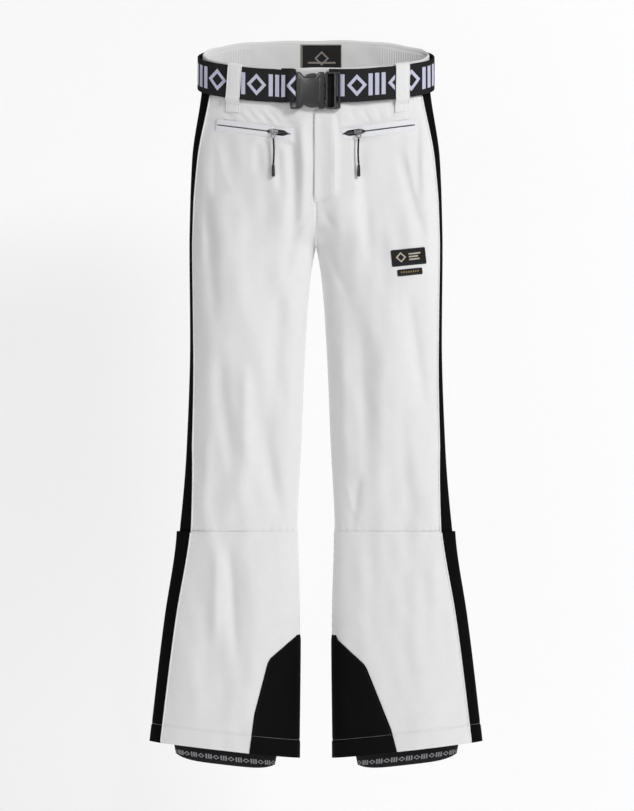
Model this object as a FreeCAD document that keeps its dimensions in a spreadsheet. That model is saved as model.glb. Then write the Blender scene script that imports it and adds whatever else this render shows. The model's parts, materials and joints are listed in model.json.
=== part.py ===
import FreeCAD, Part
import math
import os
import re

from FreeCAD import Placement, Rotation, Vector
from Sketcher import Constraint

# Flared ski pants, hanging from the waist. +Z is up, -Y is the front, +X is the wearer's left.
# The origin is the middle of the waist opening. All lengths are millimetres.

doc = FreeCAD.newDocument("ski_pants")
sheet = doc.addObject("Spreadsheet::Sheet", "Dimensions")

DIMENSIONS = {
    # the half body, one oval at each level: inner end, outer end and half depth
    "waist_level": 0, "waist_inner": -171, "waist_outer": 171, "waist_depth": 46,
    "hip_level": -130, "hip_inner": -152, "hip_outer": 187, "hip_depth": 51,
    "seat_level": -205, "seat_inner": -84, "seat_outer": 190, "seat_depth": 51,
    "crotch_level": -261, "crotch_inner": 0, "crotch_outer": 191, "crotch_depth": 48,
    "thigh_level": -400, "thigh_inner": 15, "thigh_outer": 190, "thigh_depth": 42,
    "knee_level": -560, "knee_inner": 22, "knee_outer": 195, "knee_depth": 36,
    "boot_level": -691, "boot_inner": 28, "boot_outer": 206, "boot_depth": 32,
    "calf_level": -820, "calf_inner": 25, "calf_outer": 227, "calf_depth": 37,
    "hem_level": -1036, "hem_inner": 27, "hem_outer": 253, "hem_depth": 43,
    # cloth
    "cloth": 2.4, "centre_gap": 0.15, "fold_gap": 0.3,
    # hem and gaiter
    "hem_tilt": 6.5, "hem_inner_level": -1031, "hem_height": 28, "facing": 1.6,
    "gaiter_cloth": 0.8, "gaiter_top": -790, "cuff_inner": 60, "cuff_outer": 214, "cuff_depth": 29,
    "cuff_height": 25, "cuff_drop": 22, "cuff_cloth": 2.2,
    # waist, a slanting oval that is lower at the front
    "rim_level": 30, "rim_slope": 0.52, "band_height": 50, "band_cloth": 3.2,
    "belt_across": 176.6, "belt_deep": 50.6, "webbing_width": 50, "webbing": 2.2, "belt_below_rim": 2,
    "loop_width": 20, "loop_height": 72, "loop_cloth": 1.8, "loop_reach": 12,
    "loop_front_x": 130, "loop_back_x": 108,
    # side stripe and scuff guard, as distances from the leg's outer edge
    "stripe_waist": 15, "stripe_thigh": 6, "stripe_boot": 18, "stripe_hem": 16, "stripe_back": 30,
    "piping_width": 2.4, "piping_height": 1.1,
    "guard_peak": -835, "guard_corner": -877, "guard_shoulder": 68, "guard_hem": 104, "guard_tip": 36,
    # fly
    "fly_left": -3, "fly_width": 27, "fly_top": -57, "fly_bottom": -196, "fly_cloth": 1.8,
    "fly_front": -52.9, "shield_width": 44, "tab_width": 60, "tab_height": 40,
    # pockets: the zip lies on an arc whose centre is inside the leg
    "pocket_x": 94, "pocket_y": -43.1, "pocket_z": -85.5, "pocket_slant": 7.5, "pocket_wrap": 10.2,
    "pocket_radius": 352, "pocket_length": 118, "welt_height": 18, "welt_cloth": 1.4, "slit": 2.4,
    "eye_length": 38, "eye_height": 9, "zip_tape": 1.0, "zip_row": 2.0, "bag_height": 135, "bag_cloth": 0.6,
    # sliders and pulls
    "slider_at": -31, "slider_length": 13, "slider_width": 9, "slider_thick": 5.8, "slider_centre": 4.1,
    "bail_reach": 6.2, "bail_width": 10.6, "bail_wire": 1.3, "ring_radius": 2.6, "ring_hole": 1.4,
    "ring_thick": 1.6, "eye_radius": 3.6, "cord_length": 38, "cord_width": 2.8, "cord_bow": 1.8,
    "tip_length": 19, "tip_width": 5.0, "tip_thick": 4.0,
    # buckle
    "buckle_z": -27.7, "buckle_back": -48.2, "buckle_thick": 11.5, "buckle_height": 56,
    "socket_left": -39, "socket_face": -29, "socket_right": 12.8, "plug_left": 14.2, "plug_right": 36.8,
    "frame_thick": 8.5, "arm_thick": 6.0, "tongue_width": 9,
    # badges, label and waist fasteners
    "label_width": 61, "label_height": 42, "label_cloth": 1.2,
    "badge_width": 52, "badge_height": 25, "strip_width": 38, "strip_height": 10, "badge_cloth": 1.4, "badge_turn": 6,
    "snap_radius": 7.0, "snap_cap": 1.6, "snap_stud": 2.6,
}


def fill_sheet():
    """Writes each dimension in column B with its name in column A, and gives the cell that name."""
    for row, (name, value) in enumerate(DIMENSIONS.items(), start=1):
        sheet.set(f"A{row}", name)
        sheet.set(f"B{row}", str(value))
        sheet.setAlias(f"B{row}", name)
    doc.recompute()


fill_sheet()


def dim(name):
    """A driving dimension, read from the sheet."""
    return float(sheet.get(name))


def bind(thing, **sizes):
    """Ties an object's properties to expressions, whose words are names in the sheet."""
    for prop, words in sizes.items():
        known = lambda match: "Dimensions." * (match.group() in DIMENSIONS) + match.group()
        thing.setExpression(prop, re.sub(r"[a-z_]+", known, words))
    return thing


def keep(label, shape):
    """A sub-part whose shape is made from surfaces that no feature describes."""
    part = doc.addObject("Part::Feature", label)
    part.Label = label
    part.Shape = shape
    return part


subparts = {}


def sub(label, part):
    part.Label = label
    subparts[label] = part
    return part


# ---------------------------------------------------------------- cloth shells

BODY_LEVELS = ("waist", "hip", "seat", "crotch", "thigh", "knee", "boot")
FLARE_LEVELS = ("boot", "calf", "hem")
ABOVE_WAIST = 75


def oval(inner, outer, depth, level, inset):
    """A level oval, from its inner to its outer end, drawn in by inset all round."""
    across = (outer - inner) / 2 - inset
    middle = Vector((outer + inner) / 2, 0, level)
    return Part.Wire(Part.Ellipse(middle, across, depth - inset).toShape())


def station(name, inset):
    return oval(dim(name + "_inner"), dim(name + "_outer"), dim(name + "_depth"), dim(name + "_level"), inset)


def half_body(inset):
    """The left half of the pants as a solid, from above the waist to the boot seam."""
    waist = oval(dim("waist_inner"), dim("waist_outer"), dim("waist_depth"), ABOVE_WAIST, inset)
    return Part.makeLoft([waist] + [station(name, inset) for name in BODY_LEVELS], True, True)


def flare(inset):
    """The left lower leg as a solid, from the boot seam to below the hem."""
    return Part.makeLoft([station(name, inset) for name in FLARE_LEVELS], True, True)


def slab(points, front, back):
    """A prism whose outline is given as (x, z) pairs, from y = front to y = back."""
    corners = [Vector(x, front, z) for x, z in points]
    face = Part.Face(Part.makePolygon(corners + corners[:1]))
    return face.extrude(Vector(0, back - front, 0))


def under_slope(top, deep=400):
    """Everything under the slanting plane that is at height top where y is 0."""
    half = 300
    low, high = top - half * dim("rim_slope"), top + half * dim("rim_slope")
    outline = [Vector(-half, -half, low), Vector(-half, half, high), Vector(-half, half, top - deep),
               Vector(-half, -half, top - deep)]
    return Part.Face(Part.makePolygon(outline + outline[:1])).extrude(Vector(2 * half, 0, 0))


def hem_line(x):
    """The hem's height at a distance x from the middle: it rises towards the outer side."""
    return dim("hem_inner_level") + (x - dim("hem_inner")) * math.tan(math.radians(dim("hem_tilt")))


def hem_slab(raise_low, raise_high):
    """The space between two lines that run with the hem, raised by these heights."""
    return slab([(0, hem_line(0) + raise_low), (300, hem_line(300) + raise_low),
                 (300, hem_line(300) + raise_high), (0, hem_line(0) + raise_high)], -90, 90)


FAR = 320


def stripe_front():
    """Everything inside the stripe's front edge, before the leg's middle plane."""
    waist, thigh = dim("waist_outer") - dim("stripe_waist"), dim("thigh_outer") - dim("stripe_thigh")
    crotch = dim("crotch_outer") - dim("stripe_thigh")
    boot, hem = dim("boot_outer") - dim("stripe_boot"), dim("hem_outer") - dim("stripe_hem")
    return slab([(-FAR, ABOVE_WAIST), (waist, ABOVE_WAIST), (waist, 0), (crotch, -190),
                 (crotch, dim("crotch_level")), (thigh, dim("thigh_level")), (boot, dim("boot_level")),
                 (hem, dim("hem_level")), (-FAR, dim("hem_level"))], -90, 0)


def stripe_back():
    """Everything inside the stripe's back edge, behind the leg's middle plane."""
    away = dim("stripe_back")
    edge = [(dim(name + "_outer") - away, dim(name + "_level"))
            for name in ("waist", "hip", "crotch", "thigh", "knee", "boot", "calf", "hem")]
    return slab([(-FAR, ABOVE_WAIST), (edge[0][0], ABOVE_WAIST)] + edge + [(-FAR, dim("hem_level"))], 0, 90)


def guard_outline():
    """The scuff guard: a peak at the inseam, a shoulder, and a long edge down to the hem."""
    return slab([(0, dim("guard_peak")), (dim("guard_tip"), dim("guard_peak")),
                 (dim("guard_shoulder"), dim("guard_corner")), (dim("guard_hem"), dim("hem_level")),
                 (0, dim("hem_level"))], -90, 90)


def piping_edge(levels_low, levels_high):
    """A narrow prism along the stripe's front edge between two levels."""
    full, width = stripe_front(), dim("piping_width")
    moved = full.copy()
    moved.translate(Vector(-width, 0, 0))
    band = slab([(-FAR, levels_low), (FAR, levels_low), (FAR, levels_high), (-FAR, levels_high)], -90, 0)
    return full.cut(moved).common(band)


def right_of_centre(gap):
    """The left half of space, which stops short of the centre seam."""
    return Part.makeBox(FAR, 200, 1300, Vector(gap, -100, -1200))


def pocket_frame():
    """The left pocket's own axes: x along the zip towards the hip, y into the leg, z across the zip."""
    lean = Rotation(Vector(0, 0, 1), dim("pocket_wrap")) * Rotation(Vector(0, 1, 0), -dim("pocket_slant"))
    return Placement(Vector(dim("pocket_x"), dim("pocket_y"), dim("pocket_z")), lean)


def along_zip(distance):
    """A frame on the zip at a distance from the pocket's middle."""
    radius = dim("pocket_radius")
    turn, centre = Rotation(Vector(0, 0, 1), math.degrees(distance / radius)), Vector(0, radius, 0)
    return pocket_frame().multiply(Placement(centre - turn.multVec(centre), turn))


def zip_sector(start, end, front, back, low, high):
    """A block that follows the zip's arc: from start to end along it, and from front to back through it."""
    radius = dim("pocket_radius")
    corners = [Vector(0, front, low), Vector(0, back, low), Vector(0, back, high), Vector(0, front, high)]
    face = Part.Face(Part.makePolygon(corners + corners[:1]))
    swept = face.revolve(Vector(0, radius, 0), Vector(0, 0, 1), math.degrees((end - start) / radius))
    swept.Placement = along_zip(start)
    return swept


def pocket_window():
    """The hole in the front panel behind the welt."""
    half, tall = dim("pocket_length") / 2 + 0.3, dim("welt_height") / 2 + 0.3
    return zip_sector(-half, half, -6, 8, -tall, tall)


def fly_window():
    """The opening under the placket."""
    return Part.makeBox(dim("fly_left") + dim("fly_width") + 1, 60, dim("fly_top") - dim("fly_bottom") + 14,
                        Vector(0, -80, dim("fly_bottom")))


def mirror(shape):
    return shape.mirror(Vector(0, 0, 0), Vector(1, 0, 0))


def both_sides(name, shape, right_shape=None):
    """Adds the left piece, and its mirror image for the right."""
    sub("left_" + name, keep("left_" + name, shape))
    sub("right_" + name, keep("right_" + name, mirror(shape if right_shape is None else right_shape)))


def build_upper_leg():
    cloth = dim("cloth")
    outer = half_body(0)
    shell = outer.cut(half_body(cloth))
    shell = shell.common(right_of_centre(dim("centre_gap")))
    shell = shell.common(under_slope(dim("rim_level") - dim("band_height") - 0.2, 1200))
    front, back = stripe_front(), stripe_back()
    front_panel = shell.common(front).cut(pocket_window())
    both_sides("front_panel", front_panel.cut(fly_window()), front_panel)
    both_sides("back_panel", shell.common(back))
    both_sides("side_panel", shell.cut(front).cut(back))
    raised = half_body(-dim("piping_height")).cut(outer)
    top = dim("rim_level") - dim("band_height") - 8
    piping = raised.common(piping_edge(dim("boot_level") + 1, top))
    both_sides("piping", piping)


def build_lower_leg():
    cloth, facing = dim("cloth"), dim("facing")
    trim = hem_slab(0, 600)
    below = Part.makeBox(FAR, 200, 600, Vector(0, -100, dim("boot_level") - dim("fold_gap") - 600))
    outer = flare(0).common(trim).common(below)
    inner = flare(cloth)
    shell = outer.cut(inner)
    front, back, guard = stripe_front(), stripe_back(), guard_outline()
    both_sides("flare_front", shell.common(front).cut(guard))
    both_sides("flare_back", shell.common(back).cut(guard))
    both_sides("flare_side", shell.cut(front).cut(back))
    both_sides("scuff_guard", shell.common(guard))
    both_sides("hem_facing", inner.cut(flare(cloth + facing)).common(hem_slab(0, dim("hem_height"))))
    raised = flare(-dim("piping_height")).cut(flare(0)).common(trim)
    low, high = dim("hem_level"), dim("boot_level") - 4
    both_sides("flare_piping", raised.common(piping_edge(low, high)))


def gaiter_loft(inset):
    """The gaiter as a solid: it hangs inside the lower leg and narrows to the cuff."""
    top, drop, clear = dim("gaiter_top"), dim("hem_inner_level") - dim("cuff_drop"), dim("cloth") + 0.4
    share = (dim("boot_level") - top) / (dim("boot_level") - dim("calf_level"))
    leg = [(1 - share) * dim("boot_" + part) + share * dim("calf_" + part) for part in ("inner", "outer", "depth")]
    cuff = [dim("cuff_" + part) for part in ("inner", "outer", "depth")]
    start = oval(leg[0] + clear, leg[1] - clear, leg[2] - clear, top, inset)
    neck = oval(*cuff, drop + dim("cuff_height") + 8, inset)
    end = oval(*cuff, drop - 20, inset)
    return Part.makeLoft([start, neck, end], True, True)


def build_gaiter():
    drop, height = dim("cuff_drop"), dim("cuff_height")
    sleeve = gaiter_loft(0).cut(gaiter_loft(dim("gaiter_cloth")))
    both_sides("gaiter_sleeve", sleeve.common(hem_slab(height - drop + 0.2, 600)))
    wall = gaiter_loft(-0.6).cut(gaiter_loft(dim("cuff_cloth") - 0.6))
    both_sides("gaiter_cuff", wall.common(hem_slab(-drop, height - drop)))


# ---------------------------------------------------------------- waist


def ring(across, deep, thick, top, height):
    """A slanting oval band of cloth: its outer face is across by deep, and top is its upper edge."""
    middle, tall = Vector(0, 0, top - 150), 300
    walls = [Part.Face(Part.Wire(Part.Ellipse(middle, across - inset, deep - inset).toShape()))
             for inset in (0, thick)]
    tube = walls[0].extrude(Vector(0, 0, tall)).cut(walls[1].extrude(Vector(0, 0, tall)))
    return tube.common(under_slope(top)).cut(under_slope(top - height))


def build_waistband():
    band = ring(dim("waist_outer"), dim("waist_depth"), dim("band_cloth"), dim("rim_level"), dim("band_height"))
    before = Part.makeBox(FAR, 100, 400, Vector(dim("centre_gap"), -100, -200))
    left = band.common(before)
    sub("left_front_waistband", keep("left_front_waistband", left))
    sub("right_front_waistband", keep("right_front_waistband", mirror(left)))
    behind = Part.makeBox(2 * FAR, 100, 400, Vector(-FAR, 0, -200))
    sub("back_waistband", keep("back_waistband", band.common(behind)))


def build_belt():
    """The webbing ends at the buckle's bar. Its last stretch, to the adjuster, is a piece of its own."""
    belt = ring(dim("belt_across") + dim("webbing"), dim("belt_deep") + dim("webbing"), dim("webbing"),
                dim("rim_level") - dim("belt_below_rim"), dim("webbing_width"))
    left_end, right_end, side = dim("socket_left") - 0.2, dim("plug_right") + 0.3, 118
    belt = belt.cut(Part.makeBox(right_end - left_end, 100, 400, Vector(left_end, -100, -200)))
    last = Part.makeBox(side - right_end, 100, 400, Vector(right_end, -100, -200))
    sub("belt_webbing", keep("belt_webbing", belt.cut(last)))
    sub("belt_adjuster_end", keep("belt_adjuster_end", belt.common(last)))


def belt_loop(x, behind):
    """A strip of cloth over the belt. Its top turns in along the rim and its foot turns in under the belt."""
    width, height, cloth, reach = dim("loop_width"), dim("loop_height"), dim("loop_cloth"), dim("loop_reach")
    across, deep = dim("belt_across") + 3.2, dim("belt_deep") + 3.2
    y = deep * math.sqrt(1 - (x / across) ** 2) * (1 if behind else -1)
    turn = math.degrees(math.atan2(x / across ** 2, -y / deep ** 2))
    foot = dim("rim_level") + dim("rim_slope") * y + 0.3 - height
    place = Placement(Vector(x, y, foot), Rotation(Vector(0, 0, 1), turn))
    block = Part.makeBox(width, cloth + reach, 120, Vector(-width / 2, -cloth, 0))
    room = Part.makeBox(width + 4, reach + 2, 120, Vector(-width / 2 - 2, 0, cloth))
    for shape in (block, room):
        shape.Placement = place
    room = room.common(under_slope(dim("rim_level") - cloth + 0.3))
    return block.common(under_slope(dim("rim_level") + 0.3)).cut(room)


def build_loops():
    """Two loops in front and three behind. Their legs stop at the band and the panels they're sewn to."""
    solid = half_body(0)
    body = solid.fuse(mirror(solid))
    band = ring(dim("waist_outer"), dim("waist_depth"), 40, dim("rim_level"), dim("band_height"))
    front, back = dim("loop_front_x"), dim("loop_back_x")
    spots = ((front, False), (-front, False), (back, True), (0, True), (-back, True))
    loops = [belt_loop(x, behind).cut(body).cut(band) for x, behind in spots]
    sub("belt_loops", keep("belt_loops", Part.makeCompound(loops)))


# ---------------------------------------------------------------- sketched parts


def plane(body, role="XZ_Plane"):
    return next(feature for feature in body.Origin.OriginFeatures if feature.Role == role)


def sketch_on(body, name, role="XZ_Plane"):
    sketch = body.newObject("Sketcher::SketchObject", name)
    sketch.AttachmentSupport = [(plane(body, role), "")]
    sketch.MapMode = "FlatFace"
    return sketch


def rectangle(sketch, width, height):
    """A centred rectangle whose width and height are expressions."""
    corners = [Vector(-5, -3, 0), Vector(5, -3, 0), Vector(5, 3, 0), Vector(-5, 3, 0)]
    for a, b in zip(corners, corners[1:] + corners[:1]):
        sketch.addGeometry(Part.LineSegment(a, b))
    for side in range(4):
        sketch.addConstraint(Constraint("Coincident", side, 2, (side + 1) % 4, 1))
    for side in (0, 2):
        sketch.addConstraint(Constraint("Horizontal", side))
    for side in (1, 3):
        sketch.addConstraint(Constraint("Vertical", side))
    sketch.addConstraint(Constraint("Symmetric", 0, 1, 2, 1, -1, 1))
    for which, start, end, words in (("DistanceX", 0, 0, width), ("DistanceY", 1, 1, height)):
        number = sketch.addConstraint(Constraint(which, start, 1, end, 2, 6.0))
        name = "wide" if which == "DistanceX" else "tall"
        sketch.renameConstraint(number, name)
        bind(sketch, **{"Constraints." + name: words})


def outline(sketch, points):
    """A closed outline of straight sides through these points."""
    corners = [Vector(x, z, 0) for x, z in points]
    for a, b in zip(corners, corners[1:] + corners[:1]):
        sketch.addGeometry(Part.LineSegment(a, b))


def pad(body, sketch, length):
    feature = body.newObject("PartDesign::Pad", "Pad")
    feature.Profile = sketch
    return bind(feature, Length=length)


def new_body(label):
    body = doc.addObject("PartDesign::Body", label)
    return sub(label, body)


def plate(label, width, height, thick, corner=None):
    """A flat piece in the XZ plane with its back at y = 0 and, if asked, rounded corners."""
    body = new_body(label)
    sketch = sketch_on(body, label + "_outline")
    rectangle(sketch, width, height)
    feature = pad(body, sketch, thick)
    doc.recompute()
    if corner:
        upright = [f"Edge{n}" for n, edge in enumerate(feature.Shape.Edges, start=1)
                   if abs(edge.tangentAt(edge.FirstParameter).y) > 0.99]
        rounding = body.newObject("PartDesign::Fillet", "Corners")
        rounding.Base = (feature, upright)
        rounding.Radius = corner
    doc.recompute()
    return body


def cloth_badge(x, z, width, height):
    """A rounded, tilted patch that follows the cloth."""
    patch = Part.makeBox(width, 90, height, Vector(-width / 2, -90, -height / 2))
    upright = [edge for edge in patch.Edges if abs(edge.tangentAt(edge.FirstParameter).y) > 0.99]
    patch = patch.makeFillet(1.8, upright)
    patch.Placement = Placement(Vector(x, 0, z), Rotation(Vector(0, 1, 0), -dim("badge_turn")))
    return half_body(-dim("badge_cloth")).cut(half_body(-0.05)).common(patch)


def build_badges():
    """Two badges on the left thigh."""
    sub("thigh_badge", keep("thigh_badge", cloth_badge(139, -277, dim("badge_width"), dim("badge_height"))))
    sub("thigh_strip", keep("thigh_strip", cloth_badge(141, -299.5, dim("strip_width"), dim("strip_height"))))


def build_label():
    """The neck label, sewn inside the back of the waistband."""
    body = plate("waist_label", "label_width", "label_height", "label_cloth", 1.0)
    depth = dim("waist_depth") - dim("band_cloth") - 2.4
    top = dim("rim_level") + dim("rim_slope") * depth
    body.Placement = Placement(Vector(8, depth, top - 4 - dim("label_height") / 2), Rotation())


# ---------------------------------------------------------------- fly


def bar_block(name, length, width, height, corner):
    """A block primitive whose sizes are expressions, with its low corner at a point."""
    block = bind(doc.addObject("Part::Box", name), Length=length, Width=width, Height=height)
    block.Placement = Placement(corner, Rotation())
    return block


def disc(name, radius, height, centre, axis=Vector(0, -1, 0)):
    """A cylinder primitive from a point along an axis."""
    cylinder = bind(doc.addObject("Part::Cylinder", name), Radius=radius, Height=height)
    cylinder.Placement = Placement(centre, Rotation(Vector(0, 0, 1), axis))
    return cylinder


def grouped(label, pieces):
    group = doc.addObject("Part::Compound", label)
    group.Links = pieces
    return sub(label, group)


def build_fly():
    """From front to back: placket, zip with its slider, shield, and the tab that the waist snaps to."""
    tall = "(fly_top - fly_bottom)"
    left, low, front = dim("fly_left"), dim("fly_bottom"), dim("fly_front")
    middle_x, middle_z = left + dim("fly_width") / 2, (dim("fly_top") + low) / 2
    placket = plate("fly_placket", "fly_width", tall, "fly_cloth")
    placket.Placement = Placement(Vector(middle_x, front + dim("fly_cloth"), middle_z), Rotation())
    shield = plate("fly_shield", "shield_width", tall, "fly_cloth")
    shield.Placement = Placement(Vector(middle_x - 6, front + 17, middle_z), Rotation())
    centre_y = front + 10.2
    row, half_gap = dim("zip_row"), 0.8
    pieces = []
    for side in (-1, 1):
        tape_x = middle_x + half_gap if side > 0 else middle_x - half_gap - 9.4
        teeth_x = middle_x + half_gap if side > 0 else middle_x - half_gap - row
        pieces.append(bar_block(f"fly_tape_{side + 1}", "9.4 mm", "zip_tape", "fly_top - fly_bottom - 8",
                                Vector(tape_x, centre_y - 0.5, low + 4)))
        pieces.append(bar_block(f"fly_teeth_{side + 1}", "zip_row", "2.2 mm", "fly_top - fly_bottom - 12",
                                Vector(teeth_x, centre_y - 1.1, low + 6)))
    rows = [joined_pair(pieces[0], pieces[1], "fly_row_a"), joined_pair(pieces[2], pieces[3], "fly_row_b")]
    grouped("fly_zip", rows)
    upright = Rotation(Vector(0, 1, 0), -90)
    slider("fly_slider", Placement(Vector(middle_x, centre_y, dim("fly_top") - 16), upright), 4.4)
    pull = pull_tab("fly_pull")
    pull_y = centre_y - dim("slider_thick") / 2 - 1.5
    pull.Placement = Placement(Vector(middle_x, pull_y, dim("fly_top") - 16), Rotation())
    tab = plate("waist_tab", "tab_width", "tab_height", "fly_cloth")
    tab.Placement = Placement(Vector(2, -36.8, -20), Rotation())
    caps, studs = [], []
    for number, z in enumerate((-9, -31)):
        caps.append(disc(f"snap_cap_{number}", "snap_radius", "snap_cap", Vector(16, -46.0, z)))
        caps.append(disc(f"snap_socket_{number}", "snap_radius - 1", "snap_cap", Vector(16, -40.8, z)))
        studs.append(disc(f"snap_stud_{number}", "snap_stud", "snap_cap + 0.2", Vector(16, -38.7, z)))
    grouped("snap_caps", caps)
    grouped("snap_studs", studs)


def joined_pair(one, other, name):
    fused = doc.addObject("Part::Fuse", name)
    fused.Base, fused.Tool = one, other
    return fused


def pull_tab(label):
    """A flat metal tab. The slider's bail passes through the long eye at its top."""
    body = new_body(label)
    plan = sketch_on(body, label + "_outline")
    outline(plan, [(-2.8, 0.6), (2.8, 0.6), (2.8, -6.4), (3.8, -9), (3.8, -20), (2.6, -22), (-2.6, -22),
                   (-3.8, -20), (-3.8, -9), (-2.8, -6.4)])
    outline(plan, [(-1.6, -0.6), (1.6, -0.6), (1.6, -6.6), (-1.6, -6.6)])
    pad(body, plan, "zip_tape").Midplane = True
    return body


def through(body, sketch):
    """Cuts a sketch right through the body, both ways, and checks that it cut something."""
    doc.recompute()
    before = body.Shape.Volume
    feature = body.newObject("PartDesign::Pocket", "Through")
    feature.Profile = sketch
    feature.Midplane = True
    feature.Length = 200
    doc.recompute()
    if body.Shape.Volume >= before - 1e-6:
        raise ValueError(f"{body.Label}: a cut takes nothing away")
    return feature


def slider(label, place, reach):
    """A zip slider along x: two plates joined by a rib that runs between the rows, and a bail in front."""
    body = new_body(label)
    half, wide, narrow = dim("slider_length") / 2, dim("slider_width") / 2, dim("slider_width") / 2 - 1.1
    plan = sketch_on(body, label + "_plan")
    outline(plan, [(-half, -narrow), (half, -wide), (half, wide), (-half, narrow)])
    pad(body, plan, "slider_thick").Midplane = True
    sides = sketch_on(body, label + "_sides", "YZ_Plane")
    for sign in (-1, 1):
        outline(sides, [(-1.5, sign * 0.45), (1.5, sign * 0.45), (1.5, sign * 8), (-1.5, sign * 8)])
    through(body, sides)
    front, wire, span = -dim("slider_thick") / 2, dim("bail_wire"), dim("bail_width") / 2
    bail = sketch_on(body, label + "_bail", "XY_Plane")
    far = front - reach
    outline(bail, [(-span, front + 0.4), (-span, far), (span, far), (span, front + 0.4)])
    leg = span - 1.8
    outline(bail, [(-leg, front + 0.2), (-leg, far + wire), (leg, far + wire), (leg, front + 0.2)])
    arch = pad(body, bail, "bail_wire")
    arch.Midplane = True
    body.Placement = place
    return body


# ---------------------------------------------------------------- pockets


def build_pocket_cloth():
    """The welt with its slit and the eye round the slider, the two zip rows, and the bag."""
    half, tall, slit = dim("pocket_length") / 2, dim("welt_height") / 2, dim("slit") / 2
    welt = zip_sector(-half, half, -0.9, dim("welt_cloth") - 0.9, -tall, tall)
    welt = welt.cut(zip_sector(-half + 3, half - 3, -3, 3, -slit, slit))
    start, high = -half + 3, dim("eye_height") / 2
    edge = [(0, 0), (12, high), (30, high), (38, slit), (38, -slit), (30, -high), (12, -high)]
    eye = [Vector(start + x, -4, z) for x, z in edge]
    opening = Part.Face(Part.makePolygon(eye + eye[:1])).extrude(Vector(0, 16, 0))
    opening.Placement = pocket_frame()
    both_sides("pocket_welt", welt.cut(opening))
    centre, rows = dim("slider_centre"), []
    row = dim("zip_row")
    for low, high, teeth_low, teeth_high in ((0.8, 8, 0.8, 0.8 + row), (-8, -0.8, -0.8 - row, -0.8)):
        tape = zip_sector(-half + 1, half - 1, centre - 0.5, centre + 0.5, low, high)
        rows.append(tape.fuse(zip_sector(-half + 3, half - 3, centre - 1.1, centre + 1.1, teeth_low, teeth_high)))
    both_sides("pocket_zip", Part.makeCompound(rows))
    bag, cloth = dim("bag_height"), dim("bag_cloth")
    pouch = zip_sector(-half + 1, half - 1, 8.2, 12.4, 9 - bag, 9)
    hollow = zip_sector(-half + 1 + cloth, half - 1 - cloth, 8.2 + cloth, 12.4 - cloth, 9 - bag + cloth, 20)
    both_sides("pocket_bag", pouch.cut(hollow))


def pull_frame():
    """The hinge of the left pocket's pull: the middle of the slider's bail, with level axes."""
    spot = along_zip(dim("slider_at"))
    reach = dim("slider_centre") - dim("slider_thick") / 2 - dim("bail_reach") - 1.2
    wrap = dim("pocket_wrap") + math.degrees(dim("slider_at") / dim("pocket_radius"))
    return Placement(spot.multVec(Vector(0, reach + dim("bail_wire") / 2, 0)), Rotation(Vector(0, 0, 1), wrap))


def mirrored(place):
    """The placement across the middle plane of a part that is its own mirror image."""
    base, turn = place.Base, place.Rotation.Q
    return Placement(Vector(-base.x, base.y, base.z), Rotation(turn[0], -turn[1], -turn[2], turn[3]))


def cord_route():
    """The pull cord's points from the ring to the tip, from the hinge, bowing towards the middle."""
    start, end = -dim("eye_radius") * 2 - 2.8, -dim("eye_radius") * 2 - 2.8 - dim("cord_length")
    return [Vector(0, 0, start), Vector(-dim("cord_bow"), 0, (start + end) / 2), Vector(0, 0, end)]


def tube(points, width):
    """A round cord: straight runs joined by arcs that touch them."""
    edges, last = [], points[0]
    for before, corner, after in zip(points, points[1:], points[2:]):
        back, on = (before - corner), (after - corner)
        reach = 0.45 * min(back.Length, on.Length)
        enter, leave = corner + back.normalize() * reach, corner + on.normalize() * reach
        middle_way = (enter + leave) * 0.5
        turn = math.pi - back.getAngle(on)
        radius = reach / math.tan(turn / 2)
        away = (middle_way - corner).normalize()
        centre = corner + away * math.hypot(radius, reach)
        edges.append(Part.LineSegment(last, enter).toShape())
        edges.append(Part.Arc(enter, centre - away * radius, leave).toShape())
        last = leave
    edges.append(Part.LineSegment(last, points[-1]).toShape())
    start = Part.Wire(Part.Circle(points[0], (points[1] - points[0]), width / 2).toShape())
    return Part.Wire(edges).makePipeShell([start], True, False)


def build_pulls():
    """Each pocket's slider, and its ring, cord and tip."""
    half = dim("slider_length") / 2
    at = along_zip(dim("slider_at")).multiply(Placement(Vector(0, dim("slider_centre"), 0), Rotation()))
    hinge = pull_frame()
    for side, spot, swing in (("left", at, hinge), ("right", mirrored(at), mirrored(hinge))):
        slider(side + "_pocket_slider", spot, dim("bail_reach") + 1.2)
        pull_ring(side + "_pull_ring", swing)
        flip = -1 if side == "right" else 1
        cord = tube([Vector(flip * p.x, p.y, p.z) for p in cord_route()], dim("cord_width"))
        thing = sub(side + "_pull_cord", keep(side + "_pull_cord", cord))
        thing.Placement = swing
        tip = plate(side + "_pull_tip", "tip_width", "tip_length", "tip_thick", 1.4)
        centre = Vector(0, dim("tip_thick") / 2, cord_route()[2].z - dim("tip_length") / 2 - 0.1)
        tip.Placement = swing.multiply(Placement(centre, Rotation()))


def pull_ring(label, place):
    """A loop round the bail with a flat eye under it that the cord passes through."""
    body = new_body(label)
    loop = sketch_on(body, label + "_loop", "YZ_Plane")
    loop.addGeometry(Part.Circle(Vector(0, 0, 0), Vector(0, 0, 1), dim("ring_radius")))
    loop.addGeometry(Part.Circle(Vector(0, 0, 0), Vector(0, 0, 1), dim("ring_hole")))
    pad(body, loop, "ring_thick").Midplane = True
    eye = sketch_on(body, label + "_eye")
    middle = Vector(0, -dim("ring_radius") - dim("eye_radius") + 0.3, 0)
    eye.addGeometry(Part.Circle(middle, Vector(0, 0, 1), dim("eye_radius")))
    eye.addGeometry(Part.Circle(middle, Vector(0, 0, 1), dim("eye_radius") / 2))
    pad(body, eye, "ring_thick").Midplane = True
    body.Placement = place
    return body


# ---------------------------------------------------------------- buckle


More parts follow.
